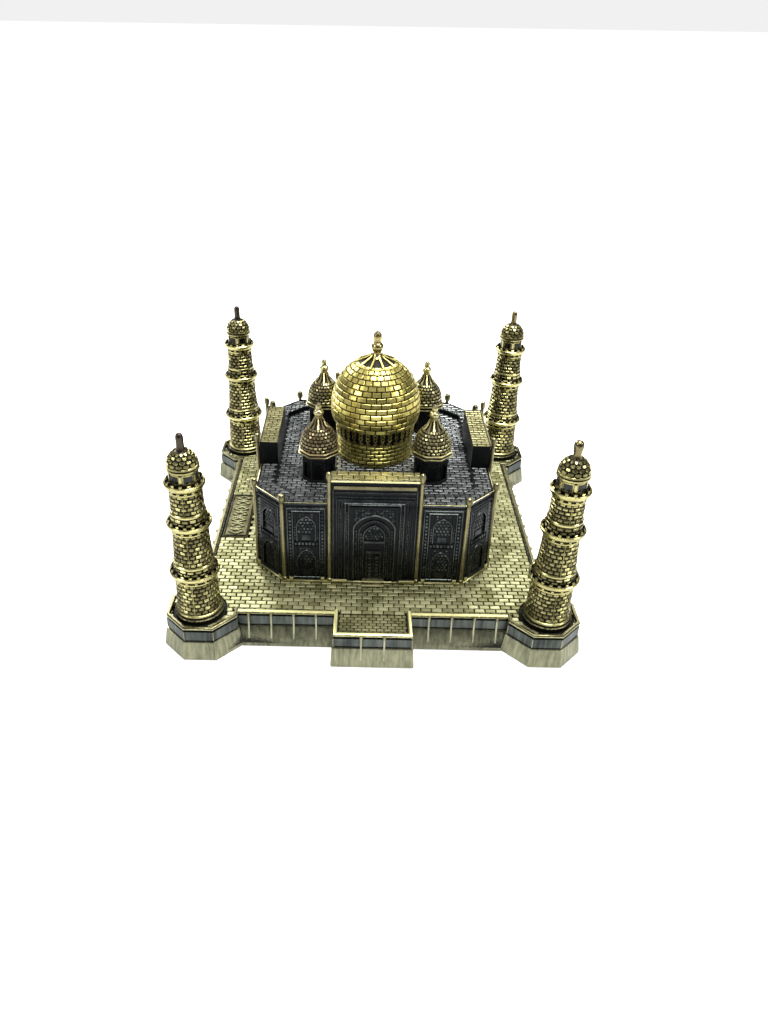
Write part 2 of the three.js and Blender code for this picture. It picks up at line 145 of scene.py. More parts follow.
class Casting:
    """One cast piece, gathered face by face in millimetres from the foot of its own axis."""

    def __init__(self, axis_x=0.0, axis_y=0.0):
        self.axis_x = axis_x
        self.axis_y = axis_y
        self.points = []
        self.rub = []
        self.faces = []
        self.tones = []
        self.finishes = []

    def skin(self, loops, rubs, tone=0.5, finish=0, strip=False, closed=False):
        """Joins loops of equal length in turn, and caps the ends or joins the last to the first."""
        start = len(self.points)
        size = len(loops[0])
        for loop, rub in zip(loops, rubs):
            self.points += loop
            self.rub += rub if isinstance(rub, list) else [rub] * size
        faces = []
        finishes = []
        for k in range(len(loops) if closed else len(loops) - 1):
            low, high = start + k * size, start + (k + 1) % len(loops) * size
            faces += [(low + i, low + (i + 1) % size, high + (i + 1) % size, high + i) for i in range(size)]
            finishes += [finish[k] if isinstance(finish, list) else finish] * size
        if not closed:
            for at in (start, start + (len(loops) - 1) * size):
                if strip:
                    last = at + size - 1
                    faces += [(at + i, at + i + 1, last - 1 - i, last - i) for i in range(size // 2 - 1)]
                else:
                    faces.append(tuple(range(at, at + size)))
        self.faces += faces
        self.tones += [tone] * len(faces)
        self.finishes += finishes + [0 if isinstance(finish, list) else finish] * (len(faces) - len(finishes))

    def block(self, place, outline, inner, low, high, bevel, tone, finish, rubs, strip):
        """A block that stands on an outline and narrows to an inner one over its shoulder."""
        levels = ((outline, low), (outline, high - bevel), (inner, high))
        self.skin([[place(u, v, out) for u, v in line] for line, out in levels], rubs, tone, finish, strip)

    def raised(self, place, outline, low, high, bevel=0.15, tone=0.5, finish=0, rubs=(0, 0.55, 1)):
        """A flat-topped block on a convex outline, with a small rounded shoulder."""
        self.block(place, outline, inset(outline, bevel), low, high, bevel, tone, finish, rubs, False)

    def brick(
        self, place, u0, u1, v0, v1, low, high, bevel=0.15, bevel_u=None, columns=1, tone=0.5, finish=0,
        rubs=(0, 0.55, 1)
    ):
        """A brick between two heights of a face; more columns let it follow a round face."""
        side = bevel if bevel_u is None else bevel_u
        inner = tile(u0 + side, u1 - side, v0 + bevel, v1 - bevel, columns)
        self.block(place, tile(u0, u1, v0, v1, columns), inner, low, high, bevel, tone, finish, rubs, True)

    def strap(self, place, path, width, low, high, closed=False, tone=0.5, finish=0, top_rub=1.0):
        """A raised line of even width along a path on a face."""
        section = [(0.5, low), (0.5, high - STRAP_SHOULDER), (0.3, high)]
        section += [(-side, level) for side, level in reversed(section)]
        loops = []
        for (u, v), (nu, nv) in zip(path, miters(path, closed)):
            loops.append([place(u + nu * side * width, v + nv * side * width, out) for side, out in section])
        rubs = [[0, 0.6 * top_rub, top_rub, top_rub, 0.6 * top_rub, 0]] * len(loops)
        self.skin(loops, rubs, tone, finish, closed=closed)

    def turned(self, profile, sides=32, phase=0.0, x=0.0, y=0.0, tone=0.5, finish=0):
        """A turned body from (radius, height, rub) rows, flat at both ends."""
        angles = [phase + 2 * math.pi * i / sides for i in range(sides)]
        loops = [[(x + r * math.sin(a), y - r * math.cos(a), z) for a in angles] for r, z, _ in profile]
        self.skin(loops, [rub for _, _, rub in profile], tone, finish)

    def build(self, name, materials, slot, stands_for, smooth_below=32):
        """Makes the Blender object, turns its faces outward and lets it ride with the model."""
        mesh = bpy.data.meshes.new(name)
        places = [((x + self.axis_x) * MM, (y + self.axis_y) * MM, z * MM) for x, y, z in self.points]
        mesh.from_pydata(places, [], self.faces)
        mesh.attributes.new("rub", "FLOAT", "POINT").data.foreach_set("value", self.rub)
        mesh.attributes.new("tone", "FLOAT", "FACE").data.foreach_set("value", self.tones)
        for material in materials:
            mesh.materials.append(material)
        mesh.polygons.foreach_set("material_index", self.finishes)
        shell = bmesh.new()
        shell.from_mesh(mesh)
        bmesh.ops.recalc_face_normals(shell, faces=shell.faces)
        shell.to_mesh(mesh)
        shell.free()
        mesh.shade_smooth()
        mesh.set_sharp_from_angle(angle=math.radians(smooth_below))
        piece = bpy.data.objects.new(name, mesh)
        bpy.context.collection.objects.link(piece)
        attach(piece, "root")
        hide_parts(*stands_for)
        return piece


def tile(u0, u1, v0, v1, columns=1):
    steps = [u0 + (u1 - u0) * i / columns for i in range(columns + 1)]
    return [(u, v0) for u in steps] + [(u, v1) for u in reversed(steps)]


def inset(outline, distance):
    """A convex anticlockwise outline moved inward."""
    lines = []
    for (x0, y0), (x1, y1) in zip(outline, outline[1:] + outline[:1]):
        length = math.hypot(x1 - x0, y1 - y0) or 1e-9
        a, b = (y1 - y0) / length, (x0 - x1) / length
        lines.append((a, b, a * x0 + b * y0 - distance))
    moved = []
    for (a, b, c), (d, e, f), corner in zip(lines[-1:] + lines[:-1], lines, outline):
        det = a * e - b * d
        if abs(det) < 1e-3:
            moved.append((corner[0] - d * distance, corner[1] - e * distance))
        else:
            moved.append(((c * e - b * f) / det, (a * f - c * d) / det))
    return moved


def miters(path, closed):
    """At each point of a path, the sideways vector that keeps a strap's width even round bends."""
    count = len(path)
    sides = []
    for i in range(count):
        before = path[i - 1] if closed or i else path[0]
        after = path[(i + 1) % count] if closed or i + 1 < count else path[-1]
        normals = []
        for (x0, y0), (x1, y1) in ((before, path[i]), (path[i], after)):
            length = math.hypot(x1 - x0, y1 - y0)
            if length > 1e-9:
                normals.append(((y1 - y0) / length, (x0 - x1) / length))
        nx, ny = sum(n[0] for n in normals), sum(n[1] for n in normals)
        size = math.hypot(nx, ny)
        share = max(0.5, size / len(normals))
        sides.append((nx / size / share, ny / size / share))
    return sides


def clip(outline, a, b, limit):
    """The part of a convex outline where a*x + b*y stays under the limit."""
    kept = []
    for (x0, y0), (x1, y1) in zip(outline, outline[1:] + outline[:1]):
        d0, d1 = a * x0 + b * y0 - limit, a * x1 + b * y1 - limit
        if d0 <= 0:
            kept.append((x0, y0))
        if d0 * d1 < 0:
            share = d0 / (d0 - d1)
            kept.append((x0 + (x1 - x0) * share, y0 + (y1 - y0) * share))
    return kept


def area(outline):
    return sum(x0 * y1 - x1 * y0 for (x0, y0), (x1, y1) in zip(outline, outline[1:] + outline[:1])) / 2


def turn(point, quarters):
    x, y = point
    for _ in range(quarters % 4):
        x, y = -y, x
    return x, y


def on_top(x, y, z):
    return (x, y, z)


def on_wall(reach, angle, foot=0.0, lean=0.0):
    """A wall that stands this far from the axis at its foot: along it to the right, up it, and out of it."""
    c, s = math.cos(angle), math.sin(angle)

    def place(along, up, out):
        y = -(reach - lean * up + out)
        return (c * along - s * y, s * along + c * y, foot + up)

    return place


def cut_square(half, corner):
    straight = half - corner
    return [turn(p, k) for k in range(4) for p in ((-straight, -half), (straight, -half))]


# Antique plating shared by every cast piece. Rub is 0 in the recesses and 1 on relieved faces;
# tone differs from brick to brick.
def feed(tree, sockets, values):
    """Sets each socket to its number or colour, or links it to the socket given."""
    for socket, value in zip(sockets, values):
        if isinstance(value, bpy.types.NodeSocket):
            tree.links.new(value, socket)
        else:
            socket.default_value = value


def math_node(tree, operation, a, b, clamp=False):
    node = tree.nodes.new("ShaderNodeMath")
    node.operation = operation
    node.use_clamp = clamp
    feed(tree, node.inputs, (a, b))
    return node.outputs[0]


def mix_color(tree, share, a, b):
    node = tree.nodes.new("ShaderNodeMix")
    node.data_type = "RGBA"
    feed(tree, [node.inputs[0]] + [s for s in node.inputs if s.type == "RGBA"], (share, a, b))
    return [s for s in node.outputs if s.type == "RGBA"][0]


def noise(tree, vector, scale, detail=3.0, roughness=0.55):
    node = tree.nodes.new("ShaderNodeTexNoise")
    feed(tree, [node.inputs[name] for name in ("Vector", "Scale", "Detail", "Roughness")],
         (vector, scale, detail, roughness))
    return node.outputs["Fac"]


def ramp_to(tree, value, low, high, out_low=0.0, out_high=1.0):
    node = tree.nodes.new("ShaderNodeMapRange")
    feed(tree, [node.inputs[name] for name in ("Value", "From Min", "From Max", "To Min", "To Max")],
         (value, low, high, out_low, out_high))
    return node.outputs["Result"]


def make_antique_plating():
    """Relieved plating: bright on rubbed faces, patchy with old lacquer, dark where the bath settled."""
    tree = bpy.data.node_groups.new("antique_plating", "ShaderNodeTree")
    colors = ("Bright", "Patina", "Recess", "Color")
    settings = ("Relief", "Patches", "Streaks", "Bright Roughness", "Recess Roughness")
    results = ("Color", "Roughness", "Metallic", "Height")
    for way, names in (("INPUT", colors[:3] + settings), ("OUTPUT", results)):
        for name in names:
            kind = "NodeSocketColor" if name in colors else "NodeSocketFloat"
            tree.interface.new_socket(name=name, in_out=way, socket_type=kind)
    given, result = tree.nodes.new("NodeGroupInput"), tree.nodes.new("NodeGroupOutput")
    place = tree.nodes.new("ShaderNodeTexCoord").outputs["Object"]
    rub = tree.nodes.new("ShaderNodeAttribute")
    rub.attribute_name = "rub"
    tone = tree.nodes.new("ShaderNodeAttribute")
    tone.attribute_name = "tone"
    smear = noise(tree, place, 160.0, 4.0)
    speck = noise(tree, place, 1500.0, 3.0, 0.65)
    grain = noise(tree, place, 4200.0, 2.0)
    wiped = math_node(tree, "MULTIPLY", rub.outputs["Fac"], given.outputs["Relief"])
    worn = math_node(tree, "SUBTRACT", wiped, ramp_to(tree, speck, 0.35, 0.75, 0.0, 0.35))
    bright_share = ramp_to(tree, worn, 0.12, 0.6)
    patch = math_node(tree, "MULTIPLY", ramp_to(tree, smear, 0.38, 0.68), given.outputs["Patches"])
    drawn = tree.nodes.new("ShaderNodeMapping")
    drawn.inputs["Scale"].default_value = (1, 1, 0.06)
    tree.links.new(place, drawn.inputs["Vector"])
    brushed = noise(tree, drawn.outputs["Vector"], 1100.0, 4.0)
    streak = math_node(tree, "MULTIPLY", ramp_to(tree, brushed, 0.35, 0.7), given.outputs["Streaks"])
    patch = math_node(tree, "ADD", patch, streak)
    tone_dark = ramp_to(tree, tone.outputs["Fac"], 0.0, 1.0, 0.75, -0.15)
    toned = math_node(tree, "ADD", patch, tone_dark, clamp=True)
    face_color = mix_color(tree, toned, given.outputs["Bright"], given.outputs["Patina"])
    color = mix_color(tree, bright_share, given.outputs["Recess"], face_color)
    shine = tree.nodes.new("ShaderNodeMix")
    feed(tree, (shine.inputs[0], shine.inputs[2], shine.inputs[3]),
         (bright_share, given.outputs["Recess Roughness"], given.outputs["Bright Roughness"]))
    rough = math_node(tree, "ADD", shine.outputs[0], ramp_to(tree, grain, 0.3, 0.7, -0.06, 0.08), clamp=True)
    metal = ramp_to(tree, bright_share, 0.0, 1.0, 0.75, 1.0)
    coarse, fine = math_node(tree, "MULTIPLY", speck, 0.7), math_node(tree, "MULTIPLY", grain, 0.3)
    height = math_node(tree, "ADD", coarse, fine)
    feed(tree, result.inputs, (color, rough, metal, height))
    return tree


antique_plating = make_antique_plating()
GRAIN_DEPTH = 0.02 * MM


def plated(name, bright, patina, recess, relief=1.0, patches=0.4, roughness=(0.3, 0.6), streaks=0.0):
    """A material of the antique plating with its own metal colours."""
    material = bpy.data.materials.new(name)
    material.use_nodes = True
    tree = material.node_tree
    shader = tree.nodes["Principled BSDF"]
    plating = tree.nodes.new("ShaderNodeGroup")
    plating.node_tree = antique_plating
    feed(tree, plating.inputs, (
        (*bright, 1), (*patina, 1), (*recess, 1), relief, patches, streaks, roughness[0], roughness[1]
    ))
    bump = tree.nodes.new("ShaderNodeBump")
    bump.inputs["Strength"].default_value = 0.6
    bump.inputs["Distance"].default_value = GRAIN_DEPTH
    tree.links.new(plating.outputs["Height"], bump.inputs["Height"])
    tree.links.new(bump.outputs["Normal"], shader.inputs["Normal"])
    for socket, source in (("Base Color", "Color"), ("Roughness", "Roughness"), ("Metallic", "Metallic")):
        tree.links.new(plating.outputs[source], shader.inputs[socket])
    return material


RIM_Z = 10.4
FLOOR_Z = 9.8
BED_Z = 9.05  # the joints between paving bricks go down to here
BLOCK_FLOOR_Z = 9.4
BASTION_AT = 45.2
BASTION_HALF = 9.3
BASTION_SHARE = 5.5 / 9.3  # how much of its half width a corner cut takes
WALL = 47.4
BLOCK = 10.2
BLOCK_FRONT = 55.7
RIB_PITCH = 6.0
PAVED_HALF = 45.9
SEAT_R = 7.0

dome_low, dome_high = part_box("main_dome")
middle = (dome_low + dome_high) / 2 / MM  # the axis of the hall and the terrace's square
tower_low, tower_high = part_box("tower_front_right")
TOWER_AT = (tower_low.x + tower_high.x) / 2 / MM


def terrace_ring(z, block_z, wall, bastion, block, front):
    """The outline of terrace, bastions and front block at one height, anticlockwise from above."""
    near, far = BASTION_AT - bastion, BASTION_AT + bastion
    straight = bastion * (1 - BASTION_SHARE)
    low, high = BASTION_AT - straight, BASTION_AT + straight
    corner = [(near, -wall), (near, -high), (low, -far), (high, -far)]
    corner += [(-y, -x) for x, y in reversed(corner)]
    ring = [(x, y, block_z) for x, y in ((-block, -wall), (-block, -front), (block, -front), (block, -wall))]
    for quarter in range(4):
        ring += [(*turn(p, quarter), z) for p in corner]
    return ring


# Rows are height, height on the block, wall, bastion, block, front of the block, rub.
TERRACE_ROWS = [
    (0.4, 0.4, 49.8, 10.5, 10.9, 57.1, 0.45),
    (0.9, 0.9, 49.6, 10.4, 10.85, 57.0, 0.7),
    (5.4, 5.7, 48.0, 9.7, 10.55, 56.22, 0.65),
    (5.65, 5.95, 47.85, 9.6, 10.45, 56.1, 1.0),
    (5.75, 6.05, 47.25, 9.1, 10.0, 55.55, 0.0),
    (6.05, 6.35, 47.2, 9.1, 9.98, 55.5, 0.0),
    (6.15, 6.45, 47.5, 9.35, 10.25, 55.77, 0.5),
    (8.85, 8.85, 47.4, 9.3, 10.2, 55.7, 0.5),
    (8.95, 8.95, 47.0, 8.9, 9.8, 55.3, 0.0),
    (9.55, 9.55, 47.0, 8.9, 9.8, 55.3, 0.0),
    (9.65, 9.65, 47.45, 9.33, 10.23, 55.73, 0.8),
    (10.0, 10.0, 47.45, 9.33, 10.23, 55.73, 0.6),
    (10.05, 10.05, 45.95, 8.3, 9.0, 54.2, 0.2),
    (BED_Z, BED_Z, 45.95, 8.3, 9.0, 54.2, 0.0),
]

terrace = Casting(middle.x, middle.y)
terrace_rings = [terrace_ring(*row[:-1]) for row in TERRACE_ROWS]
ring_finishes = [1] * 5 + [2] * 3 + [0] * (len(TERRACE_ROWS) - 9)
terrace.skin(terrace_rings, [row[-1] for row in TERRACE_ROWS], finish=ring_finishes)


def tray_cutter():
    """What is machined or left open: the tray's underside, tower seats, screw holes and pad recesses."""
    cutter = Casting(middle.x, middle.y)
    tray, block = 45.2, BLOCK - 1.6
    for x0, x1, y0, y1, top in ((-tray, tray, -tray, tray, 7.8), (-block, block, -54.1, -tray + 0.5, 7.4)):
        cutter.skin([[(x, y, z) for x, y in tile(x0, x1, y0, y1)] for z in (-1, top)], (0, 0))
    pad_recess = [(6.3, -1, 0), (6.3, 1.2, 0), (2.4, 1.2, 0), (2.4, 5.4, 0), (1.2, 5.4, 0), (1.2, 12, 0)]
    for side_x in (-1, 1):
        for side_y in (-1, 1):
            cutter.turned(pad_recess, 32, x=side_x * TOWER_AT, y=side_y * TOWER_AT)
            cutter.turned([(1.2, 5, 0), (1.2, 12, 0)], 16, x=side_x * 23, y=side_y * 23)
    return cutter


def carve(piece, cutter):
    """Cuts a piece with another casting's shape, which isn't kept."""
    tool_mesh = bpy.data.meshes.new("cutter")
    places = [((x + cutter.axis_x) * MM, (y + cutter.axis_y) * MM, z * MM) for x, y, z in cutter.points]
    tool_mesh.from_pydata(places, [], cutter.faces)
    shell = bmesh.new()
    shell.from_mesh(tool_mesh)
    bmesh.ops.recalc_face_normals(shell, faces=shell.faces)
    shell.to_mesh(tool_mesh)
    shell.free()
    tool = bpy.data.objects.new("cutter", tool_mesh)
    bpy.context.collection.objects.link(tool)
    knife = piece.modifiers.new("carve", "BOOLEAN")
    knife.object = tool
    knife.operation = "DIFFERENCE"
    knife.solver = "EXACT"
    knife.use_self = True
    bpy.context.view_layer.update()
    carved = bpy.data.meshes.new_from_object(piece.evaluated_get(bpy.context.evaluated_depsgraph_get()))
    piece.modifiers.clear()
    old = piece.data
    piece.data = carved
    bpy.data.meshes.remove(old)
    bpy.data.objects.remove(tool)


terrace_plating = plated(
    "terrace_plating", (0.60, 0.59, 0.33), (0.21, 0.205, 0.09), (0.006, 0.006, 0.004),
    patches=0.45, roughness=(0.38, 0.6)
)
wall_plating = plated(
    "wall_plating", (0.36, 0.355, 0.23), (0.12, 0.125, 0.08), (0.02, 0.02, 0.015),
    relief=1.6, patches=0.25, roughness=(0.32, 0.5), streaks=0.6
)
band_plating = plated(
    "band_plating", (0.13, 0.145, 0.125), (0.035, 0.04, 0.038), (0.012, 0.013, 0.012),
    relief=1.8, patches=0.3, roughness=(0.36, 0.55), streaks=0.6
)
# Gold for the lips on the front side only. It is brighter than dull_edge, which the same cast lip has on the
# other sides; the extra brightness is a painted highlight standing in for a reflection.
front_lip_gold_and_painted_highlight = plated(
    "front_lip_gold_and_painted_highlight", (0.80, 0.76, 0.36), (0.45, 0.42, 0.18), (0.012, 0.011, 0.008),
    patches=0.25, roughness=(0.42, 0.6)
)
dull_edge = plated("dull_edge", (0.36, 0.33, 0.18), (0.11, 0.10, 0.05), (0.012, 0.011, 0.008), patches=0.5)

terrace_piece = terrace.build(
    "terrace_casting", [terrace_plating, wall_plating, band_plating], "terrace_brass", ["terrace_base"]
)
carve(terrace_piece, tray_cutter())


# The parapet, ribs, paving and seats of the terrace: raised work of the same casting.
# A lip runs round the rim, with a knob at the head of every rib; the floor is paved with long low bricks.
paving = Casting(middle.x, middle.y)
LIP = (9.8, RIM_Z)
LIP_BACK = 46.5
LIP_IN = 0.45  # from the edge of the block to the middle of its lip
LIP_SHARE = 0.95  # how far out on a bastion its lip lies


def wall_place(side):
    """Places work on one side of the terrace or hall as if it were on the front."""

    def place(x, y, z):
        return (*turn((x, y), side), z)

    return place


KNOB = [(0.12, 8.85, 0.7), (0.34, 9.05, 0.9), (0.42, 9.5, 0.9), (0.38, 10.0, 0.9), (0.15, 10.2, 0.8)]


def rib(at, reach, side):
    """A slim rib that runs from under the lip down over the band, with a round knob at its head."""
    foot_out, shoulder = (1.85, (0.95, 5.3, 0.8)) if reach == WALL else (1.3, (0.82, 5.6, 0.8))
    line = [(-1.0, 9.3, 0.2), (0.35, 9.3, 0.9), (0.45, 9.0, 0.9), shoulder]
    line += [(foot_out, 2.6, 0.8), (0.5, 2.2, 0.2)]
    place = wall_place(side)
    loops = [[place(at + half, -reach - out, z) for out, z, _ in line] for half in (-0.22, -0.14, 0.14, 0.22)]
    edge = [rub for _, _, rub in line]
    dull = [rub * 0.6 for rub in edge]
    paving.skin(loops, [dull, edge, edge, dull], 0.9, 1)
    x, y = turn((at, -reach - 0.3), side)
    paving.turned(KNOB, 10, x=x, y=y, tone=0.5, finish=3)


near_end = BASTION_AT - BASTION_HALF
for side in range(4):
    place = wall_place(side)
    for x0, x1 in ((-near_end, -BLOCK), (BLOCK, near_end)) if side == 0 else ((-near_end, near_end),):
        lip = tile(x0, x1, -WALL - 0.07, -LIP_BACK)
        # The front side's lips take the brighter gold, a painted highlight; the other sides take dull_edge.
        paving.raised(place, lip, *LIP, bevel=0.14, tone=0.95, finish=3 if side else 2)
    for step in range(-6, 6):
        at = (step + 0.5) * RIB_PITCH
        if side or abs(at) > BLOCK:
            rib(at, WALL, side)
        elif abs(at) < 4:
            rib(at, BLOCK_FRONT, side)

bastion_edge = terrace_ring(0, 0, WALL, BASTION_HALF, BLOCK, BLOCK_FRONT)[5:11]
for quarter in range(4):
    cx, cy = turn((BASTION_AT, -BASTION_AT), quarter)
    path = [turn((BASTION_AT - BASTION_HALF * LIP_SHARE, -PAVED_HALF), quarter)]
    for x, y in [turn((x, y), quarter) for x, y, _ in bastion_edge]:
        path.append((cx + (x - cx) * LIP_SHARE, cy + (y - cy) * LIP_SHARE))
    path.append(turn((PAVED_HALF, -BASTION_AT + BASTION_HALF * LIP_SHARE), quarter))
    paving.strap(on_top, path, 0.8, *LIP, tone=0.1, finish=3)
lip_x, lip_y = BLOCK - LIP_IN, BLOCK_FRONT - LIP_IN
block_lip = [(-lip_x, -PAVED_HALF), (-lip_x, -lip_y), (lip_x, -lip_y), (lip_x, -PAVED_HALF)]
# The block's lip also takes the brighter front gold, a painted highlight.
paving.strap(on_top, block_lip, 0.9, *LIP, tone=0.9, finish=2)

# Slender rods run down the upright edges of the bastions and the block.
ROD_R = 0.14
rod_section = [(ROD_R * math.cos(a), ROD_R * math.sin(a)) for a in (0.5, 2.1, 3.6, 5.2)]
for corner in [1, 2] + [4 + 8 * quarter + k for quarter in range(4) for k in range(1, 7)]:
    loops = []
    for x, y, z in [ring[corner] for ring in terrace_rings[1:8]]:
        loops.append([(x * 0.999 + across, y * 0.999 + along, z) for across, along in rod_section])
    paving.skin(loops, [0.75] * len(loops), 0.8, 1)

BRICK_LONG = 2.87
BRICK_WIDE = 1.56
JOINT = 0.24
PANEL = (-45.75, -38.0, -11.9, 12.1)


def running_bond(long, wide, joint, rows, columns, shift=0.0):
    """Bricks laid in rows from side to side, each row half a brick further on: their edges and tone."""
    for row in range(-rows, rows + 1):
        y0 = row * wide + joint / 2
        y1 = y0 + wide - joint
        for column in range(-columns, columns + 1):
            x0 = (column + 0.5 * (row % 2)) * long + shift + joint / 2
            x1 = x0 + long - joint
            yield x0, x1, y0, y1, rng.random()


def trimmed(outline, cuts):
    """A brick cut back to each limit in turn."""
    for a, b, limit in cuts:
        outline = clip(outline, a, b, limit)
    return outline


def bastion_cuts(cx, cy):
    """The limits of a brick on a bastion: its cut corners, and the round seat of its tower."""
    sx, sy = math.copysign(1, cx), math.copysign(1, cy)
    half = BASTION_HALF - 1.0
    cuts = [(sx, 0, BASTION_AT + half), (0, sy, BASTION_AT + half)]
    for a, b in ((sx, sy), (-sx, sy), (sx, -sy)):
        cuts.append((a, b, (2 * half - half * BASTION_SHARE) + a * sx * BASTION_AT + b * sy * BASTION_AT))
    to_x, to_y = cx - sx * TOWER_AT, cy - sy * TOWER_AT
    seat = (SEAT_R + 0.15) * math.hypot(to_x, to_y) + to_x * sx * TOWER_AT + to_y * sy * TOWER_AT
    return cuts + [(-to_x, -to_y, -seat)]


def floor_cuts(x0, x1, y0, y1, cx, cy):
    """The limits of a brick on the floor, beside the lip and the panel, or None under the panel."""
    front = BLOCK_PAVED_AT if abs(cx) < BLOCK - 1.2 else PAVED_HALF
    cuts = [(1, 0, PAVED_HALF), (-1, 0, PAVED_HALF), (0, 1, PAVED_HALF), (0, -1, front)]
    if x1 > PANEL[0] and x0 < PANEL[1] and y1 > PANEL[2] and y0 < PANEL[3]:
        if cx > PANEL[1]:
            cuts.append((-1, 0, -PANEL[1] - 0.1))
        elif cy > PANEL[3]:
            cuts.append((0, -1, -PANEL[3] - 0.1))
        elif cy < PANEL[2]:
            cuts.append((0, 1, PANEL[2] - 0.1))
        else:
            return None
    return cuts


SMALLEST_BRICK = 0.35  # square millimetres
BLOCK_PAVED_AT = 46.6
for x0, x1, y0, y1, tone in running_bond(BRICK_LONG, BRICK_WIDE, JOINT, int(56 / BRICK_WIDE), 20):
    cx, cy = (x0 + x1) / 2, (y0 + y1) / 2
    ax, ay = abs(cx), abs(cy)
    if ax < 31.3 and ay < 31.3 and ax + ay < 55:
        continue
    if min(ax, ay) > BASTION_AT - 8.2:
        cuts = bastion_cuts(cx, cy)
    elif ax < BLOCK - 1.2 and cy < -BLOCK_PAVED_AT:
        continue
    else:
        cuts = floor_cuts(x0, x1, y0, y1, cx, cy)
    outline = trimmed(tile(x0, x1, y0, y1), cuts) if cuts else []
    if len(outline) >= 3 and area(outline) >= SMALLEST_BRICK:
        paving.raised(on_top, outline, BED_Z - 0.05, FLOOR_Z, bevel=0.13, tone=tone)

# The block's floor lies a little lower and is paved with smaller bricks.
for row in range(7):
    for column in range(-5, 6):
        x0, y0 = (column + 0.5 * (row % 2)) * 1.95, -54.1 + row * 1.07
        left, right = max(x0 + 0.11, -8.9), min(x0 + 1.84, 8.9)
        if right - left > 0.4:
            outline = tile(left, right, y0 + 0.1, y0 + 0.95)
            paving.raised(on_top, outline, BED_Z - 0.05, BLOCK_FLOOR_Z, 0.13, rng.random() * 0.4)

for side_x in (-1, 1):
    for side_y in (-1, 1):
        seat = [(SEAT_R, BED_Z - 0.1, 0.0), (SEAT_R, BLOCK_FLOOR_Z, 0.15), (1.3, BLOCK_FLOOR_Z, 0.1)]
        paving.turned(seat, 40, x=side_x * TOWER_AT, y=side_y * TOWER_AT)

# The raised panel at the left edge has a plain border and a row of lozenges. The dull metal is the panel's
# own; its low tones and the dimmed rub on border and lozenges also hold painted shade over this part of the
# floor.
px0, px1, py0, py1 = PANEL
paving.raised(on_top, tile(px0, px1, py0, py1), BED_Z, FLOOR_Z, bevel=0.15, tone=0.3, finish=3)
border = [(px0 + 0.5, py0 + 0.5), (px1 - 0.5, py0 + 0.5), (px1 - 0.5, py1 - 0.5), (px0 + 0.5, py1 - 0.5)]
# Low tone and dimmed rub on the border: partly painted shade.
paving.strap(on_top, border, 0.45, FLOOR_Z - 0.1, FLOOR_Z + 0.25, closed=True, tone=0.2, top_rub=0.3)
panel_x = (px0 + px1) / 2
for step in range(-3, 4):
    y = (py0 + py1) / 2 + step * 3.2
    lozenge = [(panel_x - 1.9, y), (panel_x, y - 1.1), (panel_x + 1.9, y), (panel_x, y + 1.1)]
    paving.strap(on_top, lozenge, 0.5, FLOOR_Z - 0.1, FLOOR_Z + 0.35, closed=True, tone=0.4, top_rub=0.6)
    if step < 3:
        bar = tile(panel_x - 1.8, panel_x + 1.8, y + 1.4, y + 1.8)
        paving.raised(on_top, bar, FLOOR_Z - 0.1, FLOOR_Z + 0.3, bevel=0.1, tone=0.6)

paving_metals = [terrace_plating, wall_plating, front_lip_gold_and_painted_highlight, dull_edge]
paving.build("terrace_paving", paving_metals, "terrace_brass", ["terrace_base"])


# The hall: one hollow zinc casting with leaning walls, blackened and rubbed on its relief.
# Four screws from below the terrace hold it.
WALL_FOOT_Z = 10.5
HALL = 33.05
HALL_CUT = 8.4
CUT_SHRINK = 0.59  # a smaller outline has smaller cut corners by this share
HALL_LEAN = 0.033
ROOF_Z = 34.3
COPING_Z = 35.3
PORTAL_HALF = 11.8
PORTAL_FRONT = 33.4
PORTAL_LEAN = 0.0307
PORTAL_Z = 42.4

hall = Casting(middle.x, middle.y)


def hall_ring(half, z):
    return [(x, y, z) for x, y in cut_square(half, HALL_CUT - CUT_SHRINK * (HALL - half))]


hall_rows = [
    (29.6, 32.1, 0), (30.4, 9.8, 0), (33.75, 9.8, 0.2), (33.75, 10.3, 0.9), (33.55, 10.5, 1.0),
    (33.05, 10.55, 0.0), (32.3, 33.6, 0.1), (32.5, 33.7, 0.5), (32.55, 34.0, 0.6), (32.3, 34.1, 0.0),
    (32.3, 34.6, 0.0), (32.5, 34.7, 0.6), (32.5, 35.25, 0.9), (32.3, COPING_Z, 1.0),
    (32.0, COPING_Z - 0.02, 0.7), (32.0, 35.0, 0.0), (27.7, 35.0, 0.0), (27.7, 35.2, 0.5), (27.45, 35.2, 0.6),
    (27.4, 34.0, 0.0),
]
hall_finishes = [1 if 2 <= k <= 4 or k == 12 else 0 for k in range(len(hall_rows) - 1)]
hall_rings = [hall_ring(half, z) for half, z, _ in hall_rows]
hall.skin(hall_rings, [rub for _, _, rub in hall_rows], finish=hall_finishes)


def any_tone(low=0.0):
    """A tone from low to 1 that differs from one small block to the next."""
    return low + (1 - low) * rng.random()


def small_block(casting, place, u, v, half_u, half_v, low, high, bevel=0.08, tone_low=0.0):
    """A small block round its own middle, with a tone of its own."""
    tone = any_tone(tone_low)
    casting.brick(place, u - half_u, u + half_u, v - half_v, v + half_v, low, high, bevel, tone=tone)


def dashes(casting, place, u, v0, v1, wide, tall, pitch, low, high):
    """A column of small blocks."""
    count = int((v1 - v0) / pitch)
    start = v0 + ((v1 - v0) - count * pitch + pitch - tall) / 2
    for i in range(count):
        small_block(casting, place, u, start + i * pitch + tall / 2, wide / 2, tall / 2, low, high, 0.08, 0.3)


# How far a pointed arch's sides and top differ from a round one's.
ARCH_SIDE = 1.15
ARCH_TOP = 1.25


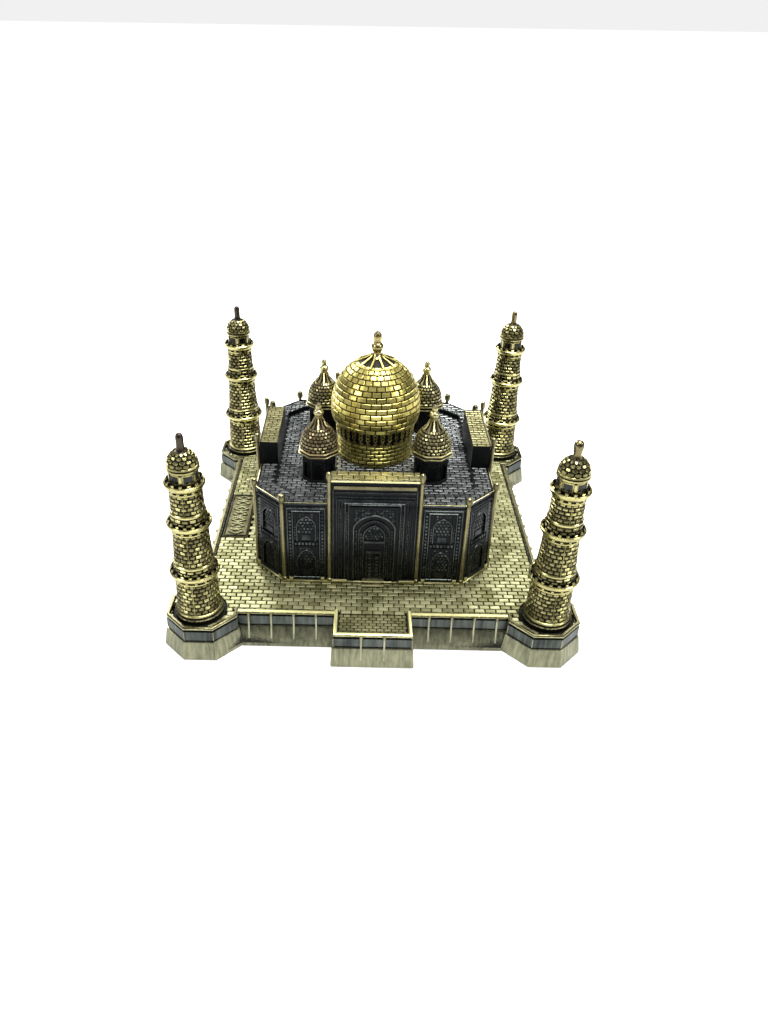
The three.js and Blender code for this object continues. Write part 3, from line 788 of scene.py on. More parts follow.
def arch_path(centre, half, foot, spring, peak, steps=7):
    """The line of a pointed arch, up one side and down the other."""
    left = []
    for i in range(steps + 1):
        angle = math.pi / 2 * i / steps
        u = centre - half * math.cos(angle) ** ARCH_SIDE
        left.append((u, spring + (peak - spring) * math.sin(angle) ** ARCH_TOP))
    right = [(2 * centre - u, v) for u, v in reversed(left[:-1])]
    return [(centre - half, foot)] + left + right + [(centre + half, foot)]


def arch_height(u, half, spring, peak):
    share = min(1.0, abs(u) / half)
    angle = math.acos(share ** (1 / ARCH_SIDE))
    return spring + (peak - spring) * math.sin(angle) ** ARCH_TOP


BLOCK_PITCH = 0.8


def arch_panel(casting, place, centre, half, outer, foot, spring, peak, top, low, high):
    """A raised face with an arched opening, its piers and spandrels covered in small blocks."""
    for side in (-1, 1):
        u0, u1 = sorted((centre + side * half, centre + side * outer))
        casting.brick(place, u0, u1, foot, top, low, high, 0.1, tone=0.1, rubs=(0, 0.6, 0.15))
    steps = [half * math.sin(math.pi / 2 * (i / 6 - 1)) for i in range(13)]
    lower = [(centre + u, arch_height(u, half, spring, peak)) for u in steps]
    outline = lower + [(u, top) for u, _ in reversed(lower)]
    inner = [(u, v + 0.08) for u, v in lower] + [(u, top - 0.08) for u, _ in reversed(lower)]
    casting.block(place, outline, inner, low, high, 0.08, 0.1, 0, (0, 0.5, 0.15), True)
    columns = int(outer / BLOCK_PITCH)
    for r in range(int((top - foot) / BLOCK_PITCH)):
        for c in range(-columns, columns + 1):
            u, v = c * BLOCK_PITCH, foot + (r + 0.55) * BLOCK_PITCH
            over = v - 0.35 - arch_height(u, half, spring, peak) if abs(u) < half else -1
            if (over > 0 or abs(u) - 0.3 > half) and abs(u) + 0.3 < outer and v + 0.3 < top:
                small_block(casting, place, centre + u, v, 0.26, 0.22, high - 0.1, high + 0.14, 0.07)


def lattice(casting, place, centre, half, v0, spring, peak, low, high, pitch=0.95):
    """Rows of small square blocks that fill an arch."""
    columns = int(half / pitch)
    rows = int((peak - v0) / pitch)
    for r in range(rows):
        for c in range(-columns, columns + 1):
            u, v = c * pitch + (0.5 * pitch if r % 2 else 0), v0 + (r + 0.5) * pitch
            if abs(u) + 0.3 > half or v + 0.4 > arch_height(u, half, spring, peak):
                continue
            small_block(casting, place, centre + u, v, 0.33, 0.33, low, high, 0.07)


def bay(casting, place, centre, half):
    """One bay of the wall: two arches over each other inside nested frames."""
    outer, inner = half - 0.25, half - 1.65
    frames = ((outer, 0.5, 23.0, 0.4, 0.45, 0.5), (inner, 0.9, 22.2, 0.34, 0.5, 0.7))
    for r, v0, v1, wide, high, tone in frames:
        casting.strap(place, tile(centre - r, centre + r, v0, v1), wide, -0.1, high, closed=True, tone=tone)
    for side in (-1, 1):
        u = centre + side * (half - 0.95)
        dashes(casting, place, u, 1.6, 22.2, 0.62, 0.72, 1.1, -0.1, 0.35)
        casting.brick(place, u - 0.5, u + 0.5, 0.0, 1.0, -0.1, 0.8, 0.12, tone=1.0, finish=1)
    for foot, spring, peak, top in ((1.3, 7.0, 10.0, 11.2), (13.0, 17.8, 20.6, 21.9)):
        arch_panel(casting, place, centre, half - 2.9, inner - 0.25, foot, spring, peak, top, -0.1, 0.45)
        casting.strap(place, arch_path(centre, half - 2.8, foot, spring, peak), 0.3, 0.0, 0.65, tone=0.8)
        for u in (centre - inner + 0.62, centre + inner - 0.62):
            dashes(casting, place, u, foot + 0.4, spring, 0.4, 0.5, 0.85, 0.3, 0.6)
        lattice(casting, place, centre, half - 2.9, foot + 2.2, spring, peak, -0.1, 0.18)
        casting.brick(place, centre - 1.3, centre + 1.3, foot, foot + 1.7, -0.1, 0.2, 0.1, tone=0.3)
    for i in range(7):
        along = (i - 3) * 0.95
        if abs(along) < inner - 0.5:
            small_block(casting, place, centre + along, 12.0, 0.33, 0.45, -0.1, 0.5)


def portal_front(casting, place):
    """The tall arched front: nested frames with small blocks between, a deep arch and a door."""
    top = PORTAL_Z - WALL_FOOT_Z
    frames = ((1.7, 0.22, 0.3), (2.3, 0.22, 0.35), (3.1, 0.24, 0.35), (3.95, 0.34, 0.55), (4.9, 0.34, 0.6))
    for edge, wide, high in frames:
        r = PORTAL_HALF - edge
        v_top = top - 4.9 - edge * 0.45
        path = [(-r, 0.2), (-r, v_top), (r, v_top), (r, 0.2)]
        casting.strap(place, path, wide, -0.1, high, tone=0.4 if edge < 3.5 else 0.9, top_rub=0.6)
    for side in (-1, 1):
        dashes(casting, place, side * (PORTAL_HALF - 2.7), 1.2, 23.6, 0.34, 0.7, 1.05, -0.1, 0.3)
        dashes(casting, place, side * (PORTAL_HALF - 4.42), 0.8, 22.8, 0.4, 0.6, 0.95, -0.1, 0.45)
        u = side * 9.35
        casting.brick(place, u - 2.1, u + 2.1, 0.0, 0.7, -0.1, 0.9, 0.12, tone=0.9, finish=1)
    inner = PORTAL_HALF - 5.15
    arch_panel(casting, place, 0, 5.5, inner, 0.3, 17.6, 21.7, 24.2, -0.1, 0.45)
    casting.strap(place, arch_path(0, 5.55, 0.3, 17.6, 21.7, 10), 0.4, 0.0, 0.75, tone=0.9)
    for i in range(-5, 6):
        u = i * 1.05
        v = arch_height(u, 5.9, 18.6, 22.6) + 0.3
        if v + 0.5 < 24.0:
            leaf = [(u - 0.42, v), (u, v - 0.4), (u + 0.42, v), (u, v + 0.55)]
            casting.raised(place, leaf, 0.3, 0.65, 0.08, any_tone())
    casting.strap(place, arch_path(0, 4.1, 0.3, 16.4, 19.9, 8), 0.28, -0.2, 0.45, tone=0.5)
    casting.strap(place, arch_path(0, 2.9, 0.3, 15.2, 18.3, 8), 0.3, -0.2, 0.5, tone=0.8)
    for side in (-1, 1):
        for u, v in ((3.5, 16.4), (4.8, 17.4)):
            dashes(casting, place, side * u, 0.8, v, 0.42, 0.62, 0.98, -0.2, 0.3)
    lattice(casting, place, 0, 2.7, 13.6, 15.2, 18.3, -0.2, 0.2, 0.85)
    for half, v, high, tone in ((2.8, 12.8, 0.55, 0.8), (2.0, 9.6, 0.5, 0.7)):
        casting.brick(place, -half, half, v, v + 0.6, -0.2, high, 0.1, tone=tone)
    casting.strap(place, [(-1.9, 0.3), (-1.9, 9.6), (1.9, 9.6), (1.9, 0.3)], 0.3, -0.2, 0.5, tone=0.7)
    casting.strap(place, [(0, 0.4), (0, 9.5)], 0.22, -0.2, 0.35, tone=0.4)
    for row in range(8):
        for u in (-0.95, 0.95):
            small_block(casting, place, u, 1.05 + row * 1.1, 0.5, 0.35, -0.2, 0.15)


def portal_body(casting, quarter):
    """The portal's slab: thin in front of the wall, thick above the roof."""
    for z0, z1, back in ((9.8, 35.0, 30.8), (34.0, PORTAL_Z - 0.3, 27.5)):
        loops = []
        for z in (z0, z1):
            front = PORTAL_FRONT - PORTAL_LEAN * (z - FLOOR_Z)
            loops.append([(*turn(p, quarter), z) for p in tile(-PORTAL_HALF, PORTAL_HALF, -front, -back)])
        casting.skin(loops, (0.1, 0.2), 0.4)


def portal_head(casting, place, quarter):
    """The mouldings and the two courses of bricks along the top of a portal."""
    top = PORTAL_Z - WALL_FOOT_Z
    for shorter, below, tall, high, tone, finish in (
        (-0.1, 0.55, 0.55, 0.35, 1.0, 1), (0.9, 2.6, 0.95, 0.5, 0.3, 3), (0.9, 3.7, 0.3, 0.35, 0.5, 0),
        (1.1, 5.0, 0.3, 0.35, 0.3, 0),
    ):
        half, v = PORTAL_HALF - shorter, top - below
        casting.brick(place, -half, half, v, v + tall, -0.2, high, 0.12, tone=tone, finish=finish)
    for u in (0.75 - PORTAL_HALF, PORTAL_HALF - 0.75):
        casting.strap(place, [(u, 0.2), (u, top - 2.7)], 0.3, -0.1, 0.35, tone=0.6)
    bricks = []
    if quarter % 2:
        for row in range(16):
            x0 = -PORTAL_HALF + row * PORTAL_HALF / 8
            cuts = (-32.4, -30.2, -27.5) if row % 2 else (-32.4, -31.3, -28.8, -27.5)
            bricks += [(x0, x0 + PORTAL_HALF / 8, y0, y1) for y0, y1 in zip(cuts, cuts[1:])]
    else:
        for row, (y0, y1) in enumerate(((-32.4, -31.5), (-31.5, -29.5), (-29.5, -27.5))):
            for i in range(-5, 6):
                x0 = (i + 0.5 * (row % 2)) * 2.9 - 1.45
                bricks.append((max(x0, -PORTAL_HALF), min(x0 + 2.9, PORTAL_HALF), y0, y1))
    for x0, x1, y0, y1 in bricks:
        if x1 - x0 > 0.5:
            outline = tile(x0 + 0.11, x1 - 0.11, y0 + 0.11, y1 - 0.11)
            tone = 0.3 * rng.random() + (0 if quarter % 2 else 0.1)
            casting.raised(wall_place(quarter), outline, PORTAL_Z - 0.45, PORTAL_Z, 0.14, tone, 1)


def egg_post(casting, x, y, radius, z0, z1, egg):
    """A round pilaster with an egg-shaped tip."""
    casting.turned([
        (radius + 0.3, z0, 0.8), (radius + 0.25, z0 + 0.8, 0.9), (radius, z0 + 1.0, 0.6),
        (radius * 0.9, z1 - 3.3, 0.9), (radius * 0.8, z1 - 2.9, 0.5), (egg, z1 - 1.9, 1.0),
        (egg, z1 - 1.0, 1.0), (egg * 0.72, z1 - 0.3, 1.0), (0.15, z1, 1.0),
    ], 12, x=x, y=y, tone=0.7, finish=3)


for quarter in range(4):
    angle = quarter * math.pi / 2
    portal_body(hall, quarter)
    wall = on_wall(HALL, angle, WALL_FOOT_Z, HALL_LEAN)
    front = on_wall(PORTAL_FRONT - 0.7 * PORTAL_LEAN, angle, WALL_FOOT_Z, PORTAL_LEAN)
    chamfer = on_wall((2 * HALL - HALL_CUT) / math.sqrt(2), angle + math.pi / 4, WALL_FOOT_Z, HALL_LEAN)
    for centre in (-18.35, 18.35):
        bay(hall, wall, centre, 5.3)
    bay(hall, chamfer, 0, 5.5)
    portal_front(hall, front)
    portal_head(hall, front, quarter)
    for side in (-1, 1):
        posts = ((12.1, 33.1, 0.58, 45.2, 0.76), (HALL - HALL_CUT, 32.9, 0.56, 38.2, 1.0))
        for along, out, radius, tip, egg in posts:
            egg_post(hall, *turn((side * along, -out), quarter), radius, 10.4, tip, egg)
    for front_y, foot_z, top_z in ((-35.7, 9.6, 10.6), (-34.9, 10.5, 11.4)):
        hall.raised(wall_place(quarter), tile(-3.1, 3.1, front_y, -33), foot_z, top_z, 0.15, 1.0, 1)

# Roof bricks lie in rows from side to side, on the coping and one step down inside it.
ROOF_LONG = 2.7
ROOF_WIDE = 1.38
ROOF_INNER = 27.4
ROOF_OUTER = 31.9
for x0, x1, y0, y1, tone in running_bond(ROOF_LONG, ROOF_WIDE, 0.34, 24, 13, -ROOF_LONG / 2):
    cx, cy = (x0 + x1) / 2, (y0 + y1) / 2
    ax, ay = abs(cx), abs(cy)
    if math.hypot(cx, cy) < 10.2 or (min(ax, ay) < PORTAL_HALF - 1.6 and max(ax, ay) > 28.2):
        continue
    sx, sy = math.copysign(1, cx), math.copysign(1, cy)
    diagonal = 2 * ROOF_INNER - 5.1
    inside = ax < ROOF_INNER and ay < ROOF_INNER and ax + ay < diagonal
    half, slope = (ROOF_INNER - 0.1, 2 * ROOF_INNER - 5.2) if inside else (ROOF_OUTER, 2 * ROOF_OUTER - 7.8)
    cuts = [(a, b, half) for a, b in ((1, 0), (-1, 0), (0, 1), (0, -1))]
    cuts += [(a, b, slope) for a, b in ((1, 1), (-1, 1), (1, -1), (-1, -1))]
    if not inside:
        gaps = [(ax - ROOF_INNER, sx, 0, ROOF_INNER + 0.35), (ay - ROOF_INNER, 0, sy, ROOF_INNER + 0.35)]
        gaps.append(((ax + ay - diagonal) / math.sqrt(2), sx, sy, diagonal + 0.5))
        _, a, b, limit = max(gaps)
        cuts.append((-a, -b, -limit))
    outline = trimmed(tile(x0, x1, y0, y1), cuts)
    if len(outline) >= 3 and area(outline) >= SMALLEST_BRICK:
        bed, top = (33.9, ROOF_Z) if inside else (34.9, COPING_Z)
        hall.raised(on_top, outline, bed, top, 0.14, 0.15 + 0.7 * tone, 2, (0, 0.6, 0.8))

hall_plating = plated(
    "hall_plating", (0.075, 0.085, 0.078), (0.010, 0.012, 0.015), (0.003, 0.004, 0.005),
    patches=0.6, roughness=(0.24, 0.4)
)
hall_gold = plated("hall_gold", (0.64, 0.60, 0.31), (0.24, 0.22, 0.10), (0.008, 0.008, 0.006), patches=0.4)
roof_plating = plated(
    "roof_plating", (0.36, 0.375, 0.36), (0.04, 0.045, 0.045), (0.003, 0.004, 0.006),
    patches=0.35, roughness=(0.28, 0.5)
)
hall_olive = plated(
    "hall_olive", (0.25, 0.225, 0.115), (0.09, 0.08, 0.045), (0.008, 0.008, 0.008), patches=0.6
)
hall.build("hall_casting", [hall_plating, hall_gold, roof_plating, hall_olive], "hall_black", ["main_hall"])


# The dome: a hollow casting screwed down through the roof, the brightest piece of all.
# A brick drum, a band of link ornament, rows of bricks and a ribbed cap.
dome = Casting(middle.x, middle.y)
DRUM_R = 10.9
dome_body = [
    (4.2, 57, 0), (5.4, 34.3, 0), (11.25, 34.3, 0.4), (11.25, 34.8, 0.5), (DRUM_R, 34.9, 0),
    (DRUM_R - 0.1, 40.6, 0), (11.1, 40.75, 0.7), (11.1, 40.95, 0.7), (11.0, 41.05, 0), (11.4, 44.9, 0),
    (11.85, 45.1, 0.6), (11.95, 45.3, 0.4),
]
DOME_CURVE = [
    (11.95, 45.2), (12.4, 46.6), (12.62, 48.4), (12.55, 50.6), (12.2, 52.6), (11.5, 54.9), (10.4, 57.1),
    (8.7, 59.4), (5.9, 61.7),
]


def smooth_curve(knots, steps=8):
    """A smooth line through the knots, as many short steps between each pair."""
    line = []
    count = len(knots)
    for i in range(count - 1):
        p0, p1, p2, p3 = knots[max(i - 1, 0)], knots[i], knots[i + 1], knots[min(i + 2, count - 1)]
        for s in range(steps):
            t = s / steps
            point = []
            for a, b, c, d in zip(p0, p1, p2, p3):
                bend, swing = 2 * a - 5 * b + 4 * c - d, 3 * b - a - 3 * c + d
                point.append(0.5 * (2 * b + (c - a) * t + bend * t * t + swing * t ** 3))
            line.append(tuple(point))
    return line + [knots[-1]]


def on_round(knots, x=0.0, y=0.0):
    """The face of a turned body: angle round it, distance along its curve, and out of it."""
    line = smooth_curve(knots)
    lengths = [0.0]
    for (r0, z0), (r1, z1) in zip(line, line[1:]):
        lengths.append(lengths[-1] + math.hypot(r1 - r0, z1 - z0))

    def place(angle, along, out):
        along = min(max(along, 0.0), lengths[-1])
        i = 0
        while i < len(lengths) - 2 and lengths[i + 1] < along:
            i += 1
        share = (along - lengths[i]) / (lengths[i + 1] - lengths[i])
        (r0, z0), (r1, z1) = line[i], line[i + 1]
        dr, dz = (r1 - r0) / (lengths[i + 1] - lengths[i]), (z1 - z0) / (lengths[i + 1] - lengths[i])
        r, z = r0 + (r1 - r0) * share + dz * out, z0 + (z1 - z0) * share - dr * out
        return (x + r * math.sin(angle), y - r * math.cos(angle), z)

    def radius(along):
        at = place(0, along, 0)
        return math.hypot(at[0] - x, at[1] - y)

    place.length, place.radius = lengths[-1], radius
    return place


def courses(casting, place, count, rows, high, joint, bevel, tone_low, columns=2, start=0.0, end=None):
    """Rows of bricks round a turned body, each row half a brick further on."""
    end = place.length if end is None else end
    pitch = (end - start) / rows
    for row in range(rows):
        v0, v1 = start + row * pitch + joint / 2, start + (row + 1) * pitch - joint / 2
        radius = place.radius((v0 + v1) / 2)
        gap = joint / 2 / radius
        for i in range(count):
            a0 = 2 * math.pi * (i + 0.5 * (row % 2)) / count
            a1 = a0 + 2 * math.pi / count
            tone = any_tone(tone_low)
            casting.brick(place, a0 + gap, a1 - gap, v0, v1, -0.2, high, bevel, bevel / radius, columns, tone)


dome_profile = dome_body + [(r, z, 0) for r, z in smooth_curve(DOME_CURVE, 3)[1:]]
dome_profile += [(6.1, 61.75, 0.9), (6.1, 61.95, 1.0), (5.7, 62.1, 0.3), (3.9, 62.7, 0.0), (2.4, 63.3, 0.0)]
dome_profile += [(1.7, 63.6, 0.0)]
dome.turned(dome_profile, 64)
drum_face, dome_face = on_round([(DRUM_R, 34.9), (DRUM_R - 0.1, 40.65)]), on_round(DOME_CURVE)
courses(dome, drum_face, 29, 5, 0.3, 0.24, 0.14, 0.5, columns=4)
courses(dome, dome_face, 26, 12, 0.3, 0.28, 0.16, 0.7, columns=4, end=dome_face.length - 0.1)


def beside(face, centre, radius):
    """A part of a round face, in millimetres to each side of an angle."""

    def place(along, up, out):
        return face(centre + along / radius, up, out)

    return place


BAND_R = 11.3
LINKS = 34
band = on_round([(11.0, 41.05), (11.4, 44.95)])
for i in range(LINKS):
    place = beside(band, 2 * math.pi * i / LINKS, BAND_R)
    for v, r in ((3.05, 0.52), (1.95, 0.5)):
        circle = [(r * math.cos(a), v + r * math.sin(a)) for a in [math.pi * k / 4 for k in range(8)]]
        dome.strap(place, circle, 0.3, -0.1, 0.32, closed=True, tone=0.6)
    dome.strap(place, [(0, 0.2), (0, 1.4)], 0.34, -0.1, 0.3, tone=0.6)
    for side in (-1, 1):
        dome.strap(place, [(side * 0.7, 0.25), (side * 0.2, 0.9)], 0.24, -0.1, 0.26, tone=0.4)
    dome.brick(place, -0.78, 0.78, 3.62, 3.95, -0.1, 0.28, 0.08, tone=0.5)

RIBS = 10
cap_line = on_round([(5.9, 61.85), (4.0, 62.7), (2.5, 63.35), (1.5, 64.0)])
for i in range(RIBS):
    centre = 2 * math.pi * (i + 0.5) / RIBS
    loops = []
    for share in (0.0, 0.25, 0.5, 0.75, 1.0):
        along = share * cap_line.length
        radius = max(cap_line.radius(along), 1.2)
        half = (0.34 - 0.12 * share) / radius
        section = [(-half, -0.2), (-half, 0.28), (-half * 0.5, 0.42)]
        section += [(-a, out) for a, out in reversed(section)]
        loops.append([cap_line(centre + a, along, out) for a, out in section])
    dome.skin(loops, [[0, 0.6, 1, 1, 0.6, 0]] * len(loops), 0.9)
    leaf = centre + math.pi / RIBS
    dome.brick(cap_line, leaf - 0.22, leaf + 0.22, 0.1, 0.8, -0.1, 0.2, 0.1, 0.03, 3, 1.0)

dome_plating = plated(
    "dome_plating", (0.66, 0.57, 0.17), (0.32, 0.27, 0.08), (0.010, 0.008, 0.005),
    patches=0.35, roughness=(0.3, 0.5)
)
dome.build("dome_casting", [dome_plating], "dome_brass", ["main_dome"], smooth_below=38)


# The dome's finial: a pin turned from brass, with a large ball, a slimmer neck and a small knob.
# It is pressed into the dome's cap and rubbed bright where it is widest.
FINIAL_FOOT_Z, FINIAL_TIP_Z = [corner.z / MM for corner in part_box("dome_finial")]
finial = Casting(middle.x, middle.y)
finial_knots = [
    (2.0, FINIAL_FOOT_Z), (1.5, 64.1), (1.15, 64.8), (1.35, 65.5), (1.76, 66.4), (1.5, 67.3), (1.08, 67.8),
    (1.15, 68.4), (1.24, 69.3), (1.05, 70.2), (0.55, 70.8), (0.1, FINIAL_TIP_Z),
]
finial_rows = []
for r, z in smooth_curve(finial_knots, 4):
    finial_rows.append((r, z, min(1.0, 0.35 + 0.6 * (r > 1.1) + 0.3 * (r > 1.3))))
finial.turned(finial_rows, 28, tone=0.8)
pin_plating = plated(
    "pin_plating", (0.42, 0.36, 0.15), (0.16, 0.13, 0.06), (0.05, 0.04, 0.02),
    patches=0.3, roughness=(0.24, 0.4)
)
finial.build("dome_finial_pin", [pin_plating], "finial_brass", ["dome_finial"], smooth_below=60)


# The four kiosks: an eight-sided black body under a bronze cap with scales, flutes and a ball tip.
# Each pair is held to the roof by one screw from below.
KIOSK_EAVE_Z, KIOSK_TIP_Z = [corner.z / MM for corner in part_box("kiosk_cap_front_left")]
KIOSK_R = 4.45
CORNERS = ("front_left", "front_right", "rear_left", "rear_right")
kiosk_black = plated(
    "kiosk_black", (0.045, 0.046, 0.044), (0.010, 0.011, 0.014), (0.004, 0.005, 0.006), roughness=(0.3, 0.45)
)
kiosk_gold = plated(
    "kiosk_gold", (0.60, 0.56, 0.27), (0.25, 0.215, 0.10), (0.016, 0.012, 0.008),
    patches=0.5, roughness=(0.3, 0.5)
)
kiosk_copper = plated(
    "kiosk_copper", (0.52, 0.46, 0.24), (0.21, 0.16, 0.08), (0.022, 0.013, 0.008),
    patches=0.6, roughness=(0.3, 0.5)
)
SCALE = [(-0.44, 0.30), (-0.46, -0.12), (-0.22, -0.40), (0.22, -0.40), (0.46, -0.12), (0.44, 0.30)]


def octagon_profile(casting, rows, tone=0.5, finish=0):
    """A turned body with eight flat sides, sized across its flats."""
    wide = 1 / math.cos(math.pi / 8)
    casting.turned([(r * wide, z, rub) for r, z, rub in rows], 8, math.pi / 8, tone=tone, finish=finish)


def stands_at(node):
    """The middle of a frame piece seen from above, and the heights of its foot and tip."""
    low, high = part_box(node)
    return (low.x + high.x) / 2 / MM, (low.y + high.y) / 2 / MM, low.z / MM, high.z / MM


def scales(casting, place, count, rows, start, end, tall, high, tone_low):
    """Rows of rounded scales, each row half a scale further on."""
    pitch = (end - start) / rows
    for row in range(rows):
        v = start + (row + 0.5) * pitch
        radius = place.radius(v)
        wide = 2 * math.pi * radius / count * 0.86
        for i in range(count):
            a = 2 * math.pi * (i + 0.5 * (row % 2)) / count
            outline = [(a + u * wide / radius, v + w * tall) for u, w in SCALE]
            inner = [(a + u * 0.72 * wide / radius, v + w * 0.72 * tall) for u, w in SCALE]
            loops = []
            for points, out in ((outline, -0.1), (outline, high * 0.6), (inner, high)):
                loops.append([place(u, w, out) for u, w in points])
            casting.skin(loops, (0, 0.5, 1.0), any_tone(tone_low))


for corner in CORNERS:
    axis_x, axis_y, _, _ = stands_at("kiosk_body_" + corner)
    body = Casting(axis_x, axis_y)
    flat = KIOSK_R - 0.5
    octagon_profile(body, [
        (KIOSK_R + 0.3, ROOF_Z, 0.1), (KIOSK_R + 0.3, 34.8, 0.4), (KIOSK_R + 0.15, 35.0, 0.5),
        (flat, 35.05, 0), (flat, 40.9, 0), (KIOSK_R, 41.0, 0.5), (KIOSK_R, 41.5, 0.5), (flat, 41.6, 0),
        (flat, KIOSK_EAVE_Z, 0),
    ])
    face_half = KIOSK_R * math.tan(math.pi / 8)
    for face in range(8):
        side = on_wall(flat, face * math.pi / 4, 35.0)
        arch_panel(body, side, 0, 1.15, face_half, 0.0, 3.6, 5.0, 5.95, -0.1, 0.5)
        body.strap(side, arch_path(0, 1.2, 0.05, 3.6, 5.0, 4), 0.22, 0.3, 0.56, tone=0.5)
        edge = on_wall(flat, (face + 0.5) * math.pi / 4, 35.0)
        body.strap(edge, [(0, 0.05), (0, 5.95)], 0.4, 0.0, 0.93, tone=0.6)
    body.build("kiosk_walls_" + corner, [kiosk_black], "hall_black", ["kiosk_body_" + corner])

    cap = Casting(axis_x, axis_y)
    e = KIOSK_EAVE_Z
    octagon_profile(cap, [
        (4.2, e, 0.0), (5.1, e + 0.05, 0.1), (5.52, e + 0.2, 1.0), (5.55, e + 0.46, 1.0), (5.2, e + 0.6, 0.0),
        (5.2, e + 1.05, 0.0), (5.38, e + 1.16, 1.0), (5.34, e + 1.42, 1.0), (5.0, e + 1.55, 0.1),
        (4.2, e + 1.6, 0.0),
    ])
    crown = [(4.85, e + 1.3), (4.98, e + 2.4), (4.75, e + 3.9), (4.2, e + 5.3), (3.35, e + 6.6)]
    crown.append((2.35, e + 7.6))
    neck = [(1.5, e + 8.6, 0.0), (0.95, e + 9.7, 0.1), (0.9, e + 10.3, 0.3)]
    cap.turned([(r, z, 0.0) for r, z in smooth_curve(crown, 3)] + neck, 32)
    crown_place = on_round(crown)
    scales(cap, crown_place, 24, 7, 0.2, crown_place.length - 0.1, 0.92, 0.22, 0.0)
    flute = on_round([(2.5, e + 7.4), (1.6, e + 8.5), (1.1, e + 9.6), (0.95, e + 10.2)])
    for i in range(10):
        a = 2 * math.pi * i / 10
        loops = []
        for share, half, out in ((0.0, 0.42, 0.34), (0.12, 0.46, 0.42), (0.35, 0.26, 0.3), (1.0, 0.2, 0.18)):
            along = share * flute.length
            wide = half / flute.radius(along) * 0.8
            section = ((-wide, -0.15), (-wide * 0.8, out * 0.7), (0, out))
            section += ((wide * 0.8, out * 0.7), (wide, -0.15))
            loops.append([flute(a + u, along, w) for u, w in section])
        cap.skin(loops, [[0, 0.7, 1, 0.7, 0]] * len(loops), 0.9)
    ball_knots = [
        (0.95, e + 10.1), (1.0, e + 10.5), (1.25, e + 11.1), (1.3, e + 11.7), (1.05, e + 12.2),
        (0.72, e + 12.5), (0.8, e + 13.0), (0.78, e + 13.6), (0.5, e + 14.1), (0.1, KIOSK_TIP_Z),
    ]
    cap.turned([(r, z, 0.4 + 0.6 * (r > 0.75)) for r, z in smooth_curve(ball_knots, 3)], 20, tone=0.7)
    metal = kiosk_copper if corner == "front_left" else kiosk_gold
    cap.build("kiosk_roof_" + corner, [metal], "kiosk_bronze", ["kiosk_cap_" + corner], smooth_below=40)


# The corner towers: solid castings in three brick stages with railed balconies and a domed lantern.
# One screw through the bastion holds each, and its pin is pressed into the top.
TOWER_FOOT_Z = tower_low.z / MM
TOWER_CAP_Z = tower_high.z / MM
tower_gold = plated(
    "tower_gold", (0.48, 0.44, 0.19), (0.12, 0.107, 0.042), (0.008, 0.007, 0.004),
    patches=0.7, roughness=(0.25, 0.5)
)
window_dark = plated(
    "window_dark", (0.10, 0.10, 0.09), (0.02, 0.02, 0.02), (0.005, 0.006, 0.008), roughness=(0.3, 0.4)
)


def balcony(casting, z, radius, shaft, drum, drum_top, bricks):
    """A flared ring with a slotted groove below it and a low gallery with merlons above."""
    casting.turned([
        (shaft - 0.2, z - 2.3, 0.0), (shaft + 0.42, z - 2.25, 0.9), (shaft + 0.45, z - 1.95, 1.0),
        (shaft + 0.2, z - 1.85, 0.0), (shaft + 0.2, z - 1.45, 0.0), (shaft + 0.5, z - 1.35, 0.9),
        (radius - 0.2, z - 0.8, 0.9), (radius, z - 0.5, 1.0), (radius + 0.02, z + 0.15, 1.0),
        (radius - 0.2, z + 0.35, 1.0), (radius - 0.45, z + 0.3, 0.4), (radius - 0.5, z - 0.1, 0.0),
        (drum - 0.2, z - 0.1, 0.0),
    ], 40, tone=1.0)
    groove = on_round([(shaft + 0.2, z - 1.85), (shaft + 0.2, z - 1.45)])
    for i in range(14):
        a = 2 * math.pi * (i + 0.5) / 14
        half = 0.32 / shaft
        casting.brick(groove, a - half, a + half, 0.0, groove.length, -0.1, 0.26, 0.05, 0.01, 1, 0.8)
    gallery = on_round([(drum, z - 0.1), (drum, drum_top)])
    courses(casting, gallery, bricks, 2, 0.34, 0.42, 0.16, -0.6, start=0.15, end=gallery.length - 0.05)
    rail = on_round([(radius - 0.62, z - 0.1), (radius - 0.62, z + 1.0)])
    posts = bricks + 2
    for i in range(posts):
        a = 2 * math.pi * i / posts
        half = 0.46 / radius
        casting.brick(rail, a - half, a + half, 0.0, 0.95, -0.3, 0.3, 0.14, 0.03, 1, 0.4 + 0.6 * rng.random())


